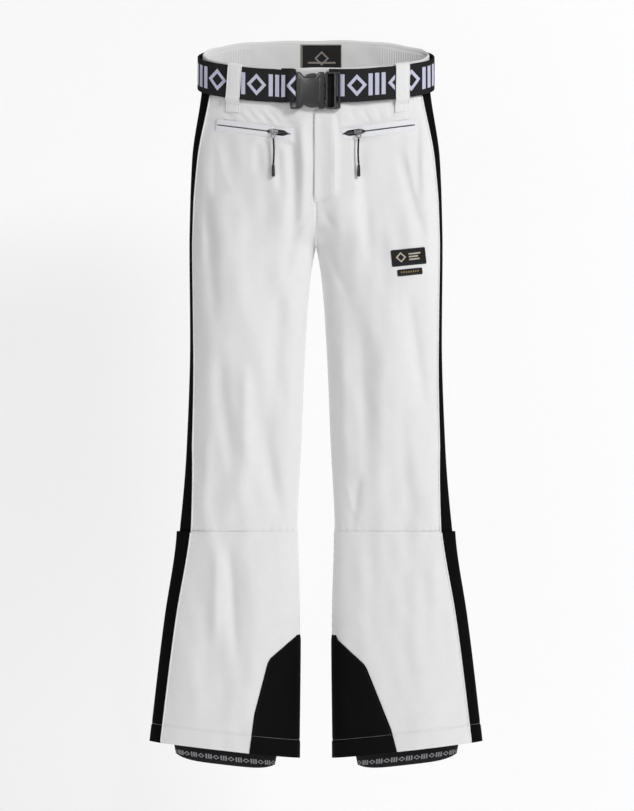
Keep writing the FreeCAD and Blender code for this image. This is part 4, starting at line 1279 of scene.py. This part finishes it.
def ribbon(name, path):
    """Webbing whose outer face follows a path of x and y, at the belt's slanting level."""
    path = np.asarray(path, float)
    share = spread(18, BELT_WIDTH)[:, None]
    tangent = np.gradient(path, axis=0)
    tangent /= np.linalg.norm(tangent, axis=1, keepdims=True)
    out = np.stack([tangent[:, 1], -tangent[:, 0], 0 * tangent[:, 0]], -1)
    run = np.insert(np.cumsum(np.linalg.norm(np.diff(path, axis=0), axis=1)), 0, 0)
    top = RIM - 2.4 + SLOPE * 0.87 * np.maximum(path[:, 1], -BELT_DEEP) - 1.2 * (path[:, 1] > 0)
    z = top[None, :] - share * BELT_WIDTH + 0.5 * np.sin(run * 0.05 + 0.8)
    edge = np.minimum(share, 1 - share) * BELT_WIDTH
    push = 0.175 * np.sin(run * 0.09 + share * 2.5) - 0.35 * np.exp(-(edge / 0.7) ** 2)
    points = np.stack([path[:, 0] + 0 * z, path[:, 1] + 0 * z, z], -1) + out[None] * push[..., None]
    return shell(name, points, BELT_THICK, out[None])


def belt_arc(start, end, count):
    """x and y of the belt's outer face between two angles."""
    angle = np.linspace(start, end, count)
    return np.stack([BELT_ACROSS * np.cos(angle), -BELT_DEEP * np.sin(angle)], -1)


def curve_through(points, count):
    """A smooth curve through given points."""
    points = np.asarray(points, float)
    run = np.insert(np.cumsum(np.linalg.norm(np.diff(points, axis=0), axis=1)), 0, 0)
    rate = np.gradient(points, run, axis=0)
    at = np.linspace(0, run[-1], count)
    k = np.clip(np.searchsorted(run, at) - 1, 0, len(run) - 2)
    h = (run[k + 1] - run[k])[:, None]
    t = ((at - run[k]) / h[:, 0])[:, None]
    return hermite(t, h, points[k], points[k + 1], rate[k], rate[k + 1])


class SKIPANTS_OT_belt(bpy.types.Operator):
    """Woven belt, its adjuster end and the five loops that hold it"""
    bl_idname = "ski_pants.belt"
    bl_label = "Belt and loops"

    def execute(self, context):
        start = math.acos(118 / BELT_ACROSS)
        end = 2 * math.pi - math.acos(-64 / BELT_ACROSS)
        loop = [(-52, -53.2), (-46, -56.0), (-40.5, -59.4), (-35, -59.5), (-31.4, -58.6), (-30.2, -55.4),
                (-31.8, -51.4), (-36, -49.4), (-44, -49.0), (-52, -48.6)]
        around = belt_arc(start, -end, 520)
        webbing = ribbon("belt_webbing", np.concatenate([around, curve_through([around[-1], *loop], 90)[1:]]))
        place(webbing, "belt_webbing", "webbing", "pants")
        last = belt_arc(start, math.acos(64 / BELT_ACROSS), 110)[::-1]
        dip = curve_through([(19.5, -48.7), (30, -48.8), (42, -49.0), (54, -49.2), last[0]], 60)[:-1]
        adjuster = ribbon("belt_adjuster_end", np.concatenate([dip, last])[::-1])
        place(adjuster, "belt_adjuster_end", "webbing", "pants")
        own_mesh(adjuster)
        self.loops()
        return {"FINISHED"}

    @staticmethod
    def loops():
        pieces, lines = [], []
        for x0, front, lean in ((128, 1, 0.0), (-122, 1, 0.075), (108, -1, 0.02), (0, -1, 0.0),
                                (-108, -1, -0.02)):
            share = spread(70, 74.0)[:, None]
            across = (spread(14, 20.0) - 0.5) * 19.6
            down = share * 74
            x = x0 + across + lean * (37 - down)
            angle = front * np.arccos(np.clip(x / WAIST_ACROSS, -1, 1))
            y = -WAIST_DEEP * np.sin(angle)
            top = RIM + SLOPE * y
            z = top + (1.4 if front > 0 else -1.5) - down
            normal = waist_normal(x, y, z)
            stand = (1.9 + 7.6 * ease((down + 1) / 5) * (1 - ease((down - 52) / 13))
                     + 1.6 * ease((down - 50) / 8))
            stand = (stand + 0.5 * np.sin(down * 0.11) * ease(down / 10)
                     - 0.5 * np.exp(-((np.abs(across) - 8.2) / 0.9) ** 2))
            points = np.stack([x + 0 * z, y, z], -1) + normal * stand[..., None]
            pieces.append(shell("belt_loop", points, 1.7, normal))
            for col in (1, -2):
                lines.append((points[4:-3:3, col], normal[4:-3:3, col]))
            for row in (-9, -11, -13):
                lines.append((points[row, 2:-2], normal[row, 2:-2]))
        place(joined("belt_loops", pieces), "belt_loops", "white_softshell", "pants")
        sewn = stitches("belt_loop_stitches", lines, pitch=2.6)
        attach(sewn, "pants")


BUCKLE_AT = (0, -53.95, -27.7)


class SKIPANTS_OT_buckle(bpy.types.Operator):
    """Side-release buckle: socket, ladder frame and two sprung prongs"""
    bl_idname = "ski_pants.buckle"
    bl_label = "Buckle"

    def execute(self, context):
        top = [(-30, 28), (-24, 28), (-17, 20), (-1, 20), (4, 28), (12.8, 28)]
        shape = rounded(mirrored_outline(top), 3.0)
        rail = rounded(box_outline(-39, -26, -28, 28), 3.0)
        gap = rounded(box_outline(-35.4, -29, -25, 25), 2.0)
        cavity = plate("cavity", [box_outline(-26, 20, -24, 24)], 6.9, 0.2, BUCKLE_AT)
        pieces = [plate("socket", [shape], 11.5, 1.6, BUCKLE_AT),
                  plate("rail", [rail, gap], 6.0, 1.2, BUCKLE_AT)]
        socket = moulded("buckle_socket", pieces, voxel=0.45, passes=6, hollow=cavity)
        reshaped(socket, self.dished)
        near, far = 14.2, 36.8
        holes = [rounded(box_outline(near + 3.4, near + 12.4, -25, 25), 2),
                 rounded(box_outline(near + 16.8, near + 19.2, -25, 25), 1)]
        tongue = rounded([(-23, -2.5), (-20, -4.5), (near + 2, -4.5), (near + 2, 4.5), (-20, 4.5),
                          (-23, 2.5)], 2)
        frame_outline = rounded(box_outline(near, far, -28, 28), 3.4)
        shoulder = tube("shoulder", [(15.9, -57.6, z) for z in np.linspace(-54.2, -1.2, 30)], 2.1, 14)
        rungs = [tube("rung", [(x, -57.9, z) for x in (27.2, 28.8, 30.4)], 0.7, 8)
                 for z in np.arange(-51, -4, 2.6)]
        ladder = [plate("ladder", [frame_outline, *holes], 8.5, 1.5, BUCKLE_AT), shoulder, *rungs,
                  plate("tongue", [tongue], 6.0, 0.8, BUCKLE_AT)]
        frame = moulded("buckle_frame", ladder, voxel=0.4, passes=3)
        window = box_outline(near + 2, near + 13.5, -26, 26)
        turn = plate("webbing_turn", [window], 1.4, 0.3, (0, -52.0, BUCKLE_AT[2]))
        turn.name = "belt_turn"
        dress(turn, "zip_tape")
        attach(turn, "buckle_plug")
        arm = [(13.5, 13.5), (13.5, 19.5), (1.0, 20.4), (1.0, 25.6), (-6, 26.2), (-14, 24.5), (-19, 20),
               (-19.5, 16), (-14, 15), (0, 15.5)]
        for obj, name, body in ((socket, "buckle_socket", "pants"), (frame, "buckle_frame", "buckle_plug")):
            place(obj, name, "buckle_plastic", body)
        for name, sign in (("upper_prong", 1), ("lower_prong", -1)):
            outline = rounded([(x, sign * z) for x, z in arm], 2.4)
            prong = moulded(name, [plate(name, [outline], 6.0, 1.0, BUCKLE_AT)], voxel=0.4)
            place(prong, name, "buckle_plastic", name + "_body")
        return {"FINISHED"}

    @staticmethod
    def dished(points):
        """Crowns the socket's face and presses a thumb groove and a rib into it."""
        x, y, z = points.T
        level = z - BUCKLE_AT[2]
        front = ease((BUCKLE_AT[1] - y) / 5.0)
        across, tall = (x + 10) / 24, level / 28
        crown = 1.9 * (np.clip(1 - across ** 2, 0, 1) * np.clip(1 - tall ** 2, 0, 1) - 1) * ease((x + 30) / 3)
        rib = 0.5 * np.exp(-((x - 6.5) / 0.8) ** 2) * ease((18 - np.abs(level)) / 3)
        line = 0.35 * np.exp(-((x + 24.5) / 0.6) ** 2) * ease((17 - np.abs(level)) / 2)
        return np.stack([x, y - front * (crown + rib - line), z], -1)


class SKIPANTS_OT_fly(bpy.types.Operator):
    """Fly placket with its J-curved sewn edge, and the zip, shield, waist tab and snaps behind it"""
    bl_idname = "ski_pants.fly"
    bl_label = "Fly"

    def execute(self, context):
        share = spread(150, 139.0)[:, None]
        z = -57 - 138.5 * share
        left, right = fly_edges(z)
        x = left + (right - left) * spread(34, 27.0)[None, :]
        away = (x - left) / (right - left)
        lift = 0.25 + 2.5 * (1 - ease(away / 0.82)) * ease((-z - 50) / 20) * ease((z + 198) / 14)
        lift = lift + 0.35 * np.sin(z * 0.07 + 1) * (1 - away) ** 2 - 0.7 * np.exp(-((x - left) / 0.9) ** 2)
        points = on_front(x, z, 0.0)
        points[..., 1] -= lift
        placket = shell("fly_placket", points, 1.3, FORWARD)
        place(placket, "fly_placket", "white_softshell", "pants", "hung")
        for name, low_push in (("fly_shield", 1.2), ("waist_tab", 0.6)):
            low, high = (np.array(p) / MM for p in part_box(name))
            x = np.linspace(low[0], high[0], 40)[None, :]
            z = np.linspace(high[2], low[2], 60)[:, None]
            y = (low[1] + 0.3 + low_push * (np.abs(x - (low[0] + high[0]) / 2) / 30) ** 2
                 + 0.3 * np.sin(z * 0.09 + x * 0.05))
            points = np.stack(np.broadcast_arrays(x, y, z), -1)
            obj = shell(name, points, 1.2, FORWARD)
            place(obj, name, "lining", "pants", "hung")
        low, high = (np.array(p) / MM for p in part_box("fly_zip"))
        middle, deep = (low + high) / 2, (low[1] + high[1]) / 2
        z = np.linspace(high[2], low[2], 80)
        tapes, lines = [], []
        for sign in (-1, 1):
            x = middle[0] + sign * np.linspace(1.6, 10, 8)[None, :]
            grid = np.stack(np.broadcast_arrays(x, deep + 0.15 * np.sin(x), z[:, None]), -1)
            tapes.append(shell("tape", grid, 0.8, FORWARD))
            line = np.stack([middle[0] + sign * 1.5 + 0 * z, deep - 0.1 + 0 * z, z - sign * 0.5], -1)
            lines.append((line[2:-2], FORWARD))
        self.zip("fly_zip", tapes, lines)
        for name in ("fly_slider", "fly_pull"):
            finish(name, "dark_metal")
        for name in ("snap_caps", "snap_studs"):
            finish(name, "snap_metal")
        return {"FINISHED"}

    @staticmethod
    def zip(name, tapes, lines):
        """Zip tapes and their teeth."""
        place(joined(name + "_tape", tapes), name, "zip_tape", "pants")
        tooth = small_shape("tooth", (1.5, 2.6, 2.0))
        teeth = repeat_along(name + "_teeth", lines, tooth, 1.9, "dark_metal")
        bpy.data.objects.remove(tooth)
        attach(teeth, "pants")


class SKIPANTS_OT_pockets(bpy.types.Operator):
    """Zipped hand pockets: welts with an eye round the slider, zips and bags"""
    bl_idname = "ski_pants.pockets"
    bl_label = "Pockets"

    def execute(self, context):
        for side, name in SIDES:
            along = np.linspace(-POCKET_HALF, POCKET_HALF, 150)[None, :]
            opening = eye_half(along)
            lips, lines = [], []
            for sign in (1, -1):
                share = spread(26, 8.4)[:, None]
                across = opening + (WELT_HALF - opening) * share
                inner, outer = (across - opening), WELT_HALF - across
                puff = 1.15 * np.sqrt(np.clip(1 - (1 - np.minimum(inner, 2.2) / 2.2) ** 2, 0, 1))
                end = ease((POCKET_HALF - np.abs(along)) / 1.2)
                dent = 0.5 * np.exp(-((outer - 1.8) / 0.7) ** 2) + 0.25 * np.exp(-((inner - 2.8) / 0.6) ** 2)
                proud = (0.35 + puff - dent) * (0.35 + 0.65 * end) - 0.5 * np.exp(-(outer / 0.5) ** 2)
                points = pocket_point(along, sign * across, -proud, side)
                out = pocket_point(along, sign * across, -proud - 1, side) - points
                lips.append(shell("lip", points, 1.2, out))
                at = np.linspace(-POCKET_HALF + 1.8, POCKET_HALF - 1.8, 60)
                row = pocket_point(at, sign * (WELT_HALF - 1.8), -0.95, side)
                lines.append((row, pocket_point(at, sign * (WELT_HALF - 1.8), -2, side) - row))
            for end in (-POCKET_HALF + 1.8, POCKET_HALF - 1.8):
                at = np.linspace(-WELT_HALF + 1.8, WELT_HALF - 1.8, 12)
                row = pocket_point(end, at, -0.95, side)
                lines.append((row, pocket_point(end, at, -2, side) - row))
            place(joined(name + "pocket_welt", lips), name + "pocket_welt", "white_laminate", "pants")
            sewn = stitches(name + "welt_stitches", lines)
            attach(sewn, "pants")
            self.zip_rows(side, name)
            self.bag(side, name)
        return {"FINISHED"}

    @staticmethod
    def zip_rows(side, name):
        tapes, lines = [], []
        along = np.linspace(-POCKET_HALF + 1, POCKET_HALF - 1, 90)
        for sign in (-1, 1):
            across = sign * np.linspace(1.2, 8.0, 8)[:, None]
            points = pocket_point(along[None, :], across, ZIP_DEPTH - 0.45, side)
            out = pocket_point(along[None, :], across, ZIP_DEPTH - 2, side) - points
            tapes.append(shell("tape", points, 0.8, out))
            at = along[2:-2] + sign * 0.5
            row = pocket_point(at, sign * 1.5, ZIP_DEPTH, side)
            lines.append((row, pocket_point(at, sign * 1.5, ZIP_DEPTH - 1, side) - row))
        SKIPANTS_OT_fly.zip(name + "pocket_zip", tapes, lines)

    @staticmethod
    def bag(side, name):
        low, high = (np.array(p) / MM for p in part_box(name + "pocket_bag"))
        deep = high[2] - low[2] - 14
        along = np.linspace(-57.5, 57.5, 70)[None, :]
        share = np.linspace(-1, 1, 121)[:, None]
        across = 8.5 - deep * (1 - np.abs(share) ** 1.1)
        gap = 1.5 * np.sqrt(np.clip(1 - (along / 58.5) ** 6, 0, 1)) * np.clip(1 - share ** 40, 0, 1)
        gap = gap * np.sqrt(np.clip((across - 8.5 + deep) / 14, 0, 1))
        wrinkle = 0.25 * np.sin(along * 0.21 + across * 0.13) + 0.2 * np.sin(across * 0.31 - along * 0.11)
        level = 10.2 + np.sign(share) * gap + wrinkle
        points = pocket_point(along, across, level, side)
        out = pocket_point(along, across, level + np.where(share >= 0, 1, -1), side) - points
        place(shell(name + "pocket_bag", points, 0.35, out), name + "pocket_bag", "lining", "pants", "folded")


class SKIPANTS_OT_pulls(bpy.types.Operator):
    """Zip sliders with their bails, pull rings, cords and moulded tips"""
    bl_idname = "ski_pants.pulls"
    bl_label = "Zip pulls"

    def execute(self, context):
        for side, name in SIDES:
            spot = pocket_matrix(SLIDER_AT, ZIP_DEPTH, side)
            body = rounded([(-6.5, -3.4), (6.5, -4.5), (6.5, 4.5), (-6.5, 3.4)], 2.2)
            plates = [plate("slider_plate", [body], 1.7, 0.6, (0, y, 0)) for y in (-2.15, 2.15)]
            rib = plate("slider_rib", [rounded(box_outline(-1, 6, -0.45, 0.45), 0.3)], 3.4, 0.1)
            arch = [(-4.2, -2.6), (-4.4, -8), (-3.4, -10.2), (0, -10.9), (3.4, -10.2), (4.4, -8), (4.2, -2.6)]
            bail = tube("bail", [(x, y, 0) for x, y in curve_through(arch, 40)], 0.65, 10)
            slider = moulded(name + "pocket_slider", plates + [rib, bail], voxel=0.2, passes=3)
            place(set_in(slider, spot), name + "pocket_slider", "dark_metal", name + "slider")
            hinge = self.hinge(side)
            self.ring(side, name, hinge)
            self.cord(side, name, hinge)
        return {"FINISHED"}

    @staticmethod
    def hinge(side):
        """The middle of the slider's bail, with level axes."""
        middle = pocket_point(np.array(SLIDER_AT), np.array(0.0), np.array(-5.65), 1)
        spot = Matrix.Translation(Vector(middle) * MM) @ Matrix.Rotation(WRAP + SLIDER_AT / ARC, 4, "Z")
        return mirrored(spot, side)

    @staticmethod
    def ring(side, name, hinge):
        turn = np.linspace(0, 2 * math.pi, 33)[:-1]
        circle = np.stack([0 * turn, 2.0 * np.cos(turn), 2.0 * np.sin(turn)], -1)
        loop = tube("ring", circle, 0.62, 10, closed=True)
        eye = [[(3.6 * math.cos(a), -5.9 + 3.9 * math.sin(a)) for a in turn],
               [(1.9 * math.cos(a), -5.9 + 2.1 * math.sin(a)) for a in turn]]
        ring = moulded(name + "pull_ring", [loop, plate("eye", eye, 1.6, 0.5)], voxel=0.2, passes=3)
        place(set_in(ring, hinge), name + "pull_ring", "dark_metal", name + "pull")

    @staticmethod
    def cord(side, name, hinge):
        tip_outline = mirrored_outline([(-9.5, 1.5), (-6, 2.1), (7.5, 2.5), (9.5, 1.9)])
        tip = plate("tip", [rounded([(z, -x) for x, z in tip_outline], 1.4)], 3.9, 1.1, (0, 0, -57.7))
        ribs = [tube("rib", [(x, -1.85, z) for x in (-1.5, 0, 1.5)], 0.28, 6) for z in (-53, -55, -57, -59)]
        tip = moulded(name + "pull_tip", [tip, *ribs], voxel=0.22, passes=2)
        place(set_in(tip, hinge), name + "pull_tip", "tip_rubber", name + "pull")
        route = [(0, 0, -10.0), (-1.8, 0, -29.0), (0, 0, -48.0)]
        curve = bpy.data.curves.new(name + "pull_cord", "CURVE")
        curve.dimensions, curve.bevel_depth, curve.bevel_resolution = "3D", 1.4 * MM, 4
        curve.use_fill_caps, curve.resolution_u = True, 24
        spline = curve.splines.new("NURBS")
        spline.points.add(len(route) - 1)
        for point, spot in zip(spline.points, route):
            point.co = (*(hinge @ (Vector(spot) * MM)), 1)
        spline.order_u = 3
        spline.use_endpoint_u = True
        obj = linked(name + "pull_cord", curve)
        place(obj, name + "pull_cord", "cord", name + "pull")


class SKIPANTS_OT_badges(bpy.types.Operator):
    """Two rubber badges on the left thigh"""
    bl_idname = "ski_pants.badges"
    bl_label = "Badges"

    def execute(self, context):
        for name, x0, z0, width, height in (("thigh_badge", 139, -277, 52, 25),
                                            ("thigh_strip", 141, -299.5, 38, 10)):
            b = (0.5 - spread(44, 30.0)[:, None]) * height
            corner = np.maximum(np.abs(b) - (height / 2 - 1.8), 0)
            bulge = 2 * np.sqrt(np.maximum(1.8 ** 2 - corner ** 2, 0))
            a = (spread(60, 50.0)[None, :] - 0.5) * (width - 3.6 + bulge)
            turn = math.radians(6)
            x = x0 + a * math.cos(turn) - b * math.sin(turn)
            z = z0 + a * math.sin(turn) + b * math.cos(turn)
            edge = np.minimum(width / 2 - np.abs(a), height / 2 - np.abs(b))
            rim = 0.35 * np.exp(-((edge - 1.1) / 0.6) ** 2) - 0.5 * np.exp(-(edge / 0.4) ** 2)
            points = on_front(x, z, 0.0)
            points[..., 1] -= 1.1 + rim
            obj = shell(name, points, 1.3, FORWARD)
            place(obj, name, name, "pants", slot="badge")
        return {"FINISHED"}


class SKIPANTS_OT_stitching(bpy.types.Operator):
    """Visible stitch lines of the hems, the boot seams, the guards and the fly"""
    bl_idname = "ski_pants.stitching"
    bl_label = "Stitching"

    def execute(self, context):
        for side, name in SIDES:
            light, dark, boot = [], [], []
            border = float(guard_angle(side)(np.array(-1005.0)))
            stripe, back = float(stripe_angle(-1000.0)), float(stripe_back_angle(-1000.0))
            runs = ((light, stripe + 0.02, border - 0.02, 0), (dark, border + 0.02, math.pi, 1),
                    (dark, math.pi, 2 * math.pi - border - 0.02, 1), (dark, -back, stripe, 0),
                    (light, border * -1 + 0.02, -back - 0.02, 0))
            for lines, start, end, lift in runs:
                angle = np.linspace(start, end, 100)
                z = np.full(100, -1010.0)
                for _ in range(4):
                    z = hem_line(oval(z, angle)[0]) + HEM_STITCH
                lines.append(leg_line(side, z, angle, flare_lift(z, angle) + 1.0 * lift))
            for start, end in ((float(stripe_angle(BOOT)) + 0.03, math.pi),
                               (-math.pi, float(behind_stripe(BOOT)) - 0.03)):
                angle = np.linspace(start, end, 150)
                boot.append(leg_line(side, np.full(150, BOOT - 2.2), angle, flare_lift(BOOT, angle)))
            z = np.linspace(-850, -1026, 150)
            edge = [leg_line(side, z, sign * (guard_angle(side)(z) + 0.035), guard_lift(z, 0) + 0.1)
                    for sign in (1, -1)]
            for lines, part, thread in ((light, "hem_stitches", "thread"),
                                        (dark, "black_hem_stitches", "grey_thread"),
                                        (edge, "guard_stitches", "dark_thread"),
                                        (boot, "boot_stitches", "thread")):
                obj = stitches(name + part, lines, thread)
                across_boot(obj)
        z = np.linspace(-58, -193, 90)
        left, right = fly_edges(z)
        bottom = np.linspace(0, 1, 12)
        jay = front_line(np.append(right - 2.4, (right[-1] - 2.4) * (1 - bottom) + 1.0 * bottom),
                         np.append(z, -193 - 0.5 * bottom), 0.4)
        obj = stitches("fly_stitches", [jay])
        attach(obj, "pants")
        return {"FINISHED"}


class SKIPANTS_OT_stage(bpy.types.Operator):
    """Floor, backdrop, lights and camera"""
    bl_idname = "ski_pants.stage"
    bl_label = "Stage"

    def execute(self, context):
        reach, low, back = 4000, -1180, 430
        floor = mesh_from("floor", [(-reach, -reach, low), (reach, -reach, low), (reach, reach, low),
                                    (-reach, reach, low)], [(0, 1, 2, 3)], smooth_faces=False)
        wall = mesh_from("backdrop", [(-reach, back, low + 1), (reach, back, low + 1), (reach, back, 3500),
                                      (-reach, back, 3500)], [(0, 1, 2, 3)], smooth_faces=False)
        for obj in (floor, wall):
            obj.data.materials.append(self.paper(obj.name, one_sided=obj is wall))
            obj.visible_glossy = obj is floor
        self.lamp("key", (2.8, -2.8, 2.3), (0.0, 0.0, -0.33), 1.2, 130)
        self.lamp("fill", (-2.4, -5.4, 0.6), (0.0, 0.0, -0.5), 3.2, 26)
        shine = self.lamp("shine", (-0.8, -5.0, 1.6), (0.0, 0.0, -0.05), 1.0, 60)
        shine.visible_diffuse = False
        world = bpy.data.worlds.new("studio")
        world.use_nodes = True
        world.node_tree.nodes["Background"].inputs[0].default_value = (1, 1, 1, 1)
        world.node_tree.nodes["Background"].inputs[1].default_value = 0.25
        context.scene.world = world
        camera = linked("camera", bpy.data.cameras.new("camera"))
        camera.location = (0.0015, -9.0, -0.50)
        camera.rotation_euler = (math.pi / 2, 0, 0)
        camera.data.sensor_fit = "VERTICAL"
        camera.data.sensor_height = 24
        camera.data.lens = 24 * 8.95 / 1.2165
        camera.data.clip_end = 40
        context.scene.camera = camera
        context.scene.view_settings.view_transform = "Standard"
        return {"FINISHED"}

    @staticmethod
    def lamp(name, place, target, size, watts):
        data = bpy.data.lights.new(name, "AREA")
        data.size, data.energy = size, watts
        obj = linked(name, data)
        obj.location = place
        obj.rotation_euler = (Vector(target) - Vector(place)).to_track_quat("-Z", "Y").to_euler()
        return obj

    @staticmethod
    def paper(name, one_sided):
        """Matt paper with a little light of its own. The wall's is clear from behind."""
        mat = material(name + "_paper")
        tree = mat.node_tree
        diffuse = node(tree, "ShaderNodeBsdfDiffuse", {"Color": colour("#a4a4a4")})
        glow = node(tree, "ShaderNodeEmission", {"Color": (1, 1, 1, 1), "Strength": 0.63})
        result = node(tree, "ShaderNodeAddShader", {0: diffuse.outputs[0], 1: glow.outputs[0]}).outputs[0]
        if one_sided:
            side = node(tree, "ShaderNodeNewGeometry").outputs["Backfacing"]
            clear = node(tree, "ShaderNodeBsdfTransparent")
            result = node(tree, "ShaderNodeMixShader", {0: side, 1: result, 2: clear.outputs[0]}).outputs[0]
        node(tree, "ShaderNodeOutputMaterial", {"Surface": result})
        return mat


class SKIPANTS_PT_panel(bpy.types.Panel):
    """Sidebar panel with the sizes, the colours and a button for each step"""
    bl_idname = "SKIPANTS_PT_panel"
    bl_label = "Ski Pants"
    bl_space_type = "VIEW_3D"
    bl_region_type = "UI"
    bl_category = "Ski Pants"

    def draw(self, context):
        for name in SkiPantsSettings.__annotations__:
            self.layout.prop(context.scene.ski_pants, name)
        for step in STEPS:
            self.layout.operator(step.bl_idname)


STEPS = [SKIPANTS_OT_stage, SKIPANTS_OT_upper_legs, SKIPANTS_OT_lower_legs, SKIPANTS_OT_piping,
         SKIPANTS_OT_gaiters, SKIPANTS_OT_waistband, SKIPANTS_OT_belt, SKIPANTS_OT_buckle, SKIPANTS_OT_fly,
         SKIPANTS_OT_pockets, SKIPANTS_OT_pulls, SKIPANTS_OT_badges, SKIPANTS_OT_stitching]


def register():
    for cls in [SkiPantsSettings, *STEPS, SKIPANTS_PT_panel]:
        bpy.utils.register_class(cls)
    bpy.types.Scene.ski_pants = PointerProperty(type=SkiPantsSettings)


def unregister():
    del bpy.types.Scene.ski_pants
    for cls in reversed([SkiPantsSettings, *STEPS, SKIPANTS_PT_panel]):
        bpy.utils.unregister_class(cls)


def main():
    register()
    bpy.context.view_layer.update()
    for step in STEPS:
        group, call = step.bl_idname.split(".")
        if getattr(getattr(bpy.ops, group), call)() != {"FINISHED"}:
            raise RuntimeError(step.bl_label + " didn't finish")


if __name__ == "__main__":
    main()
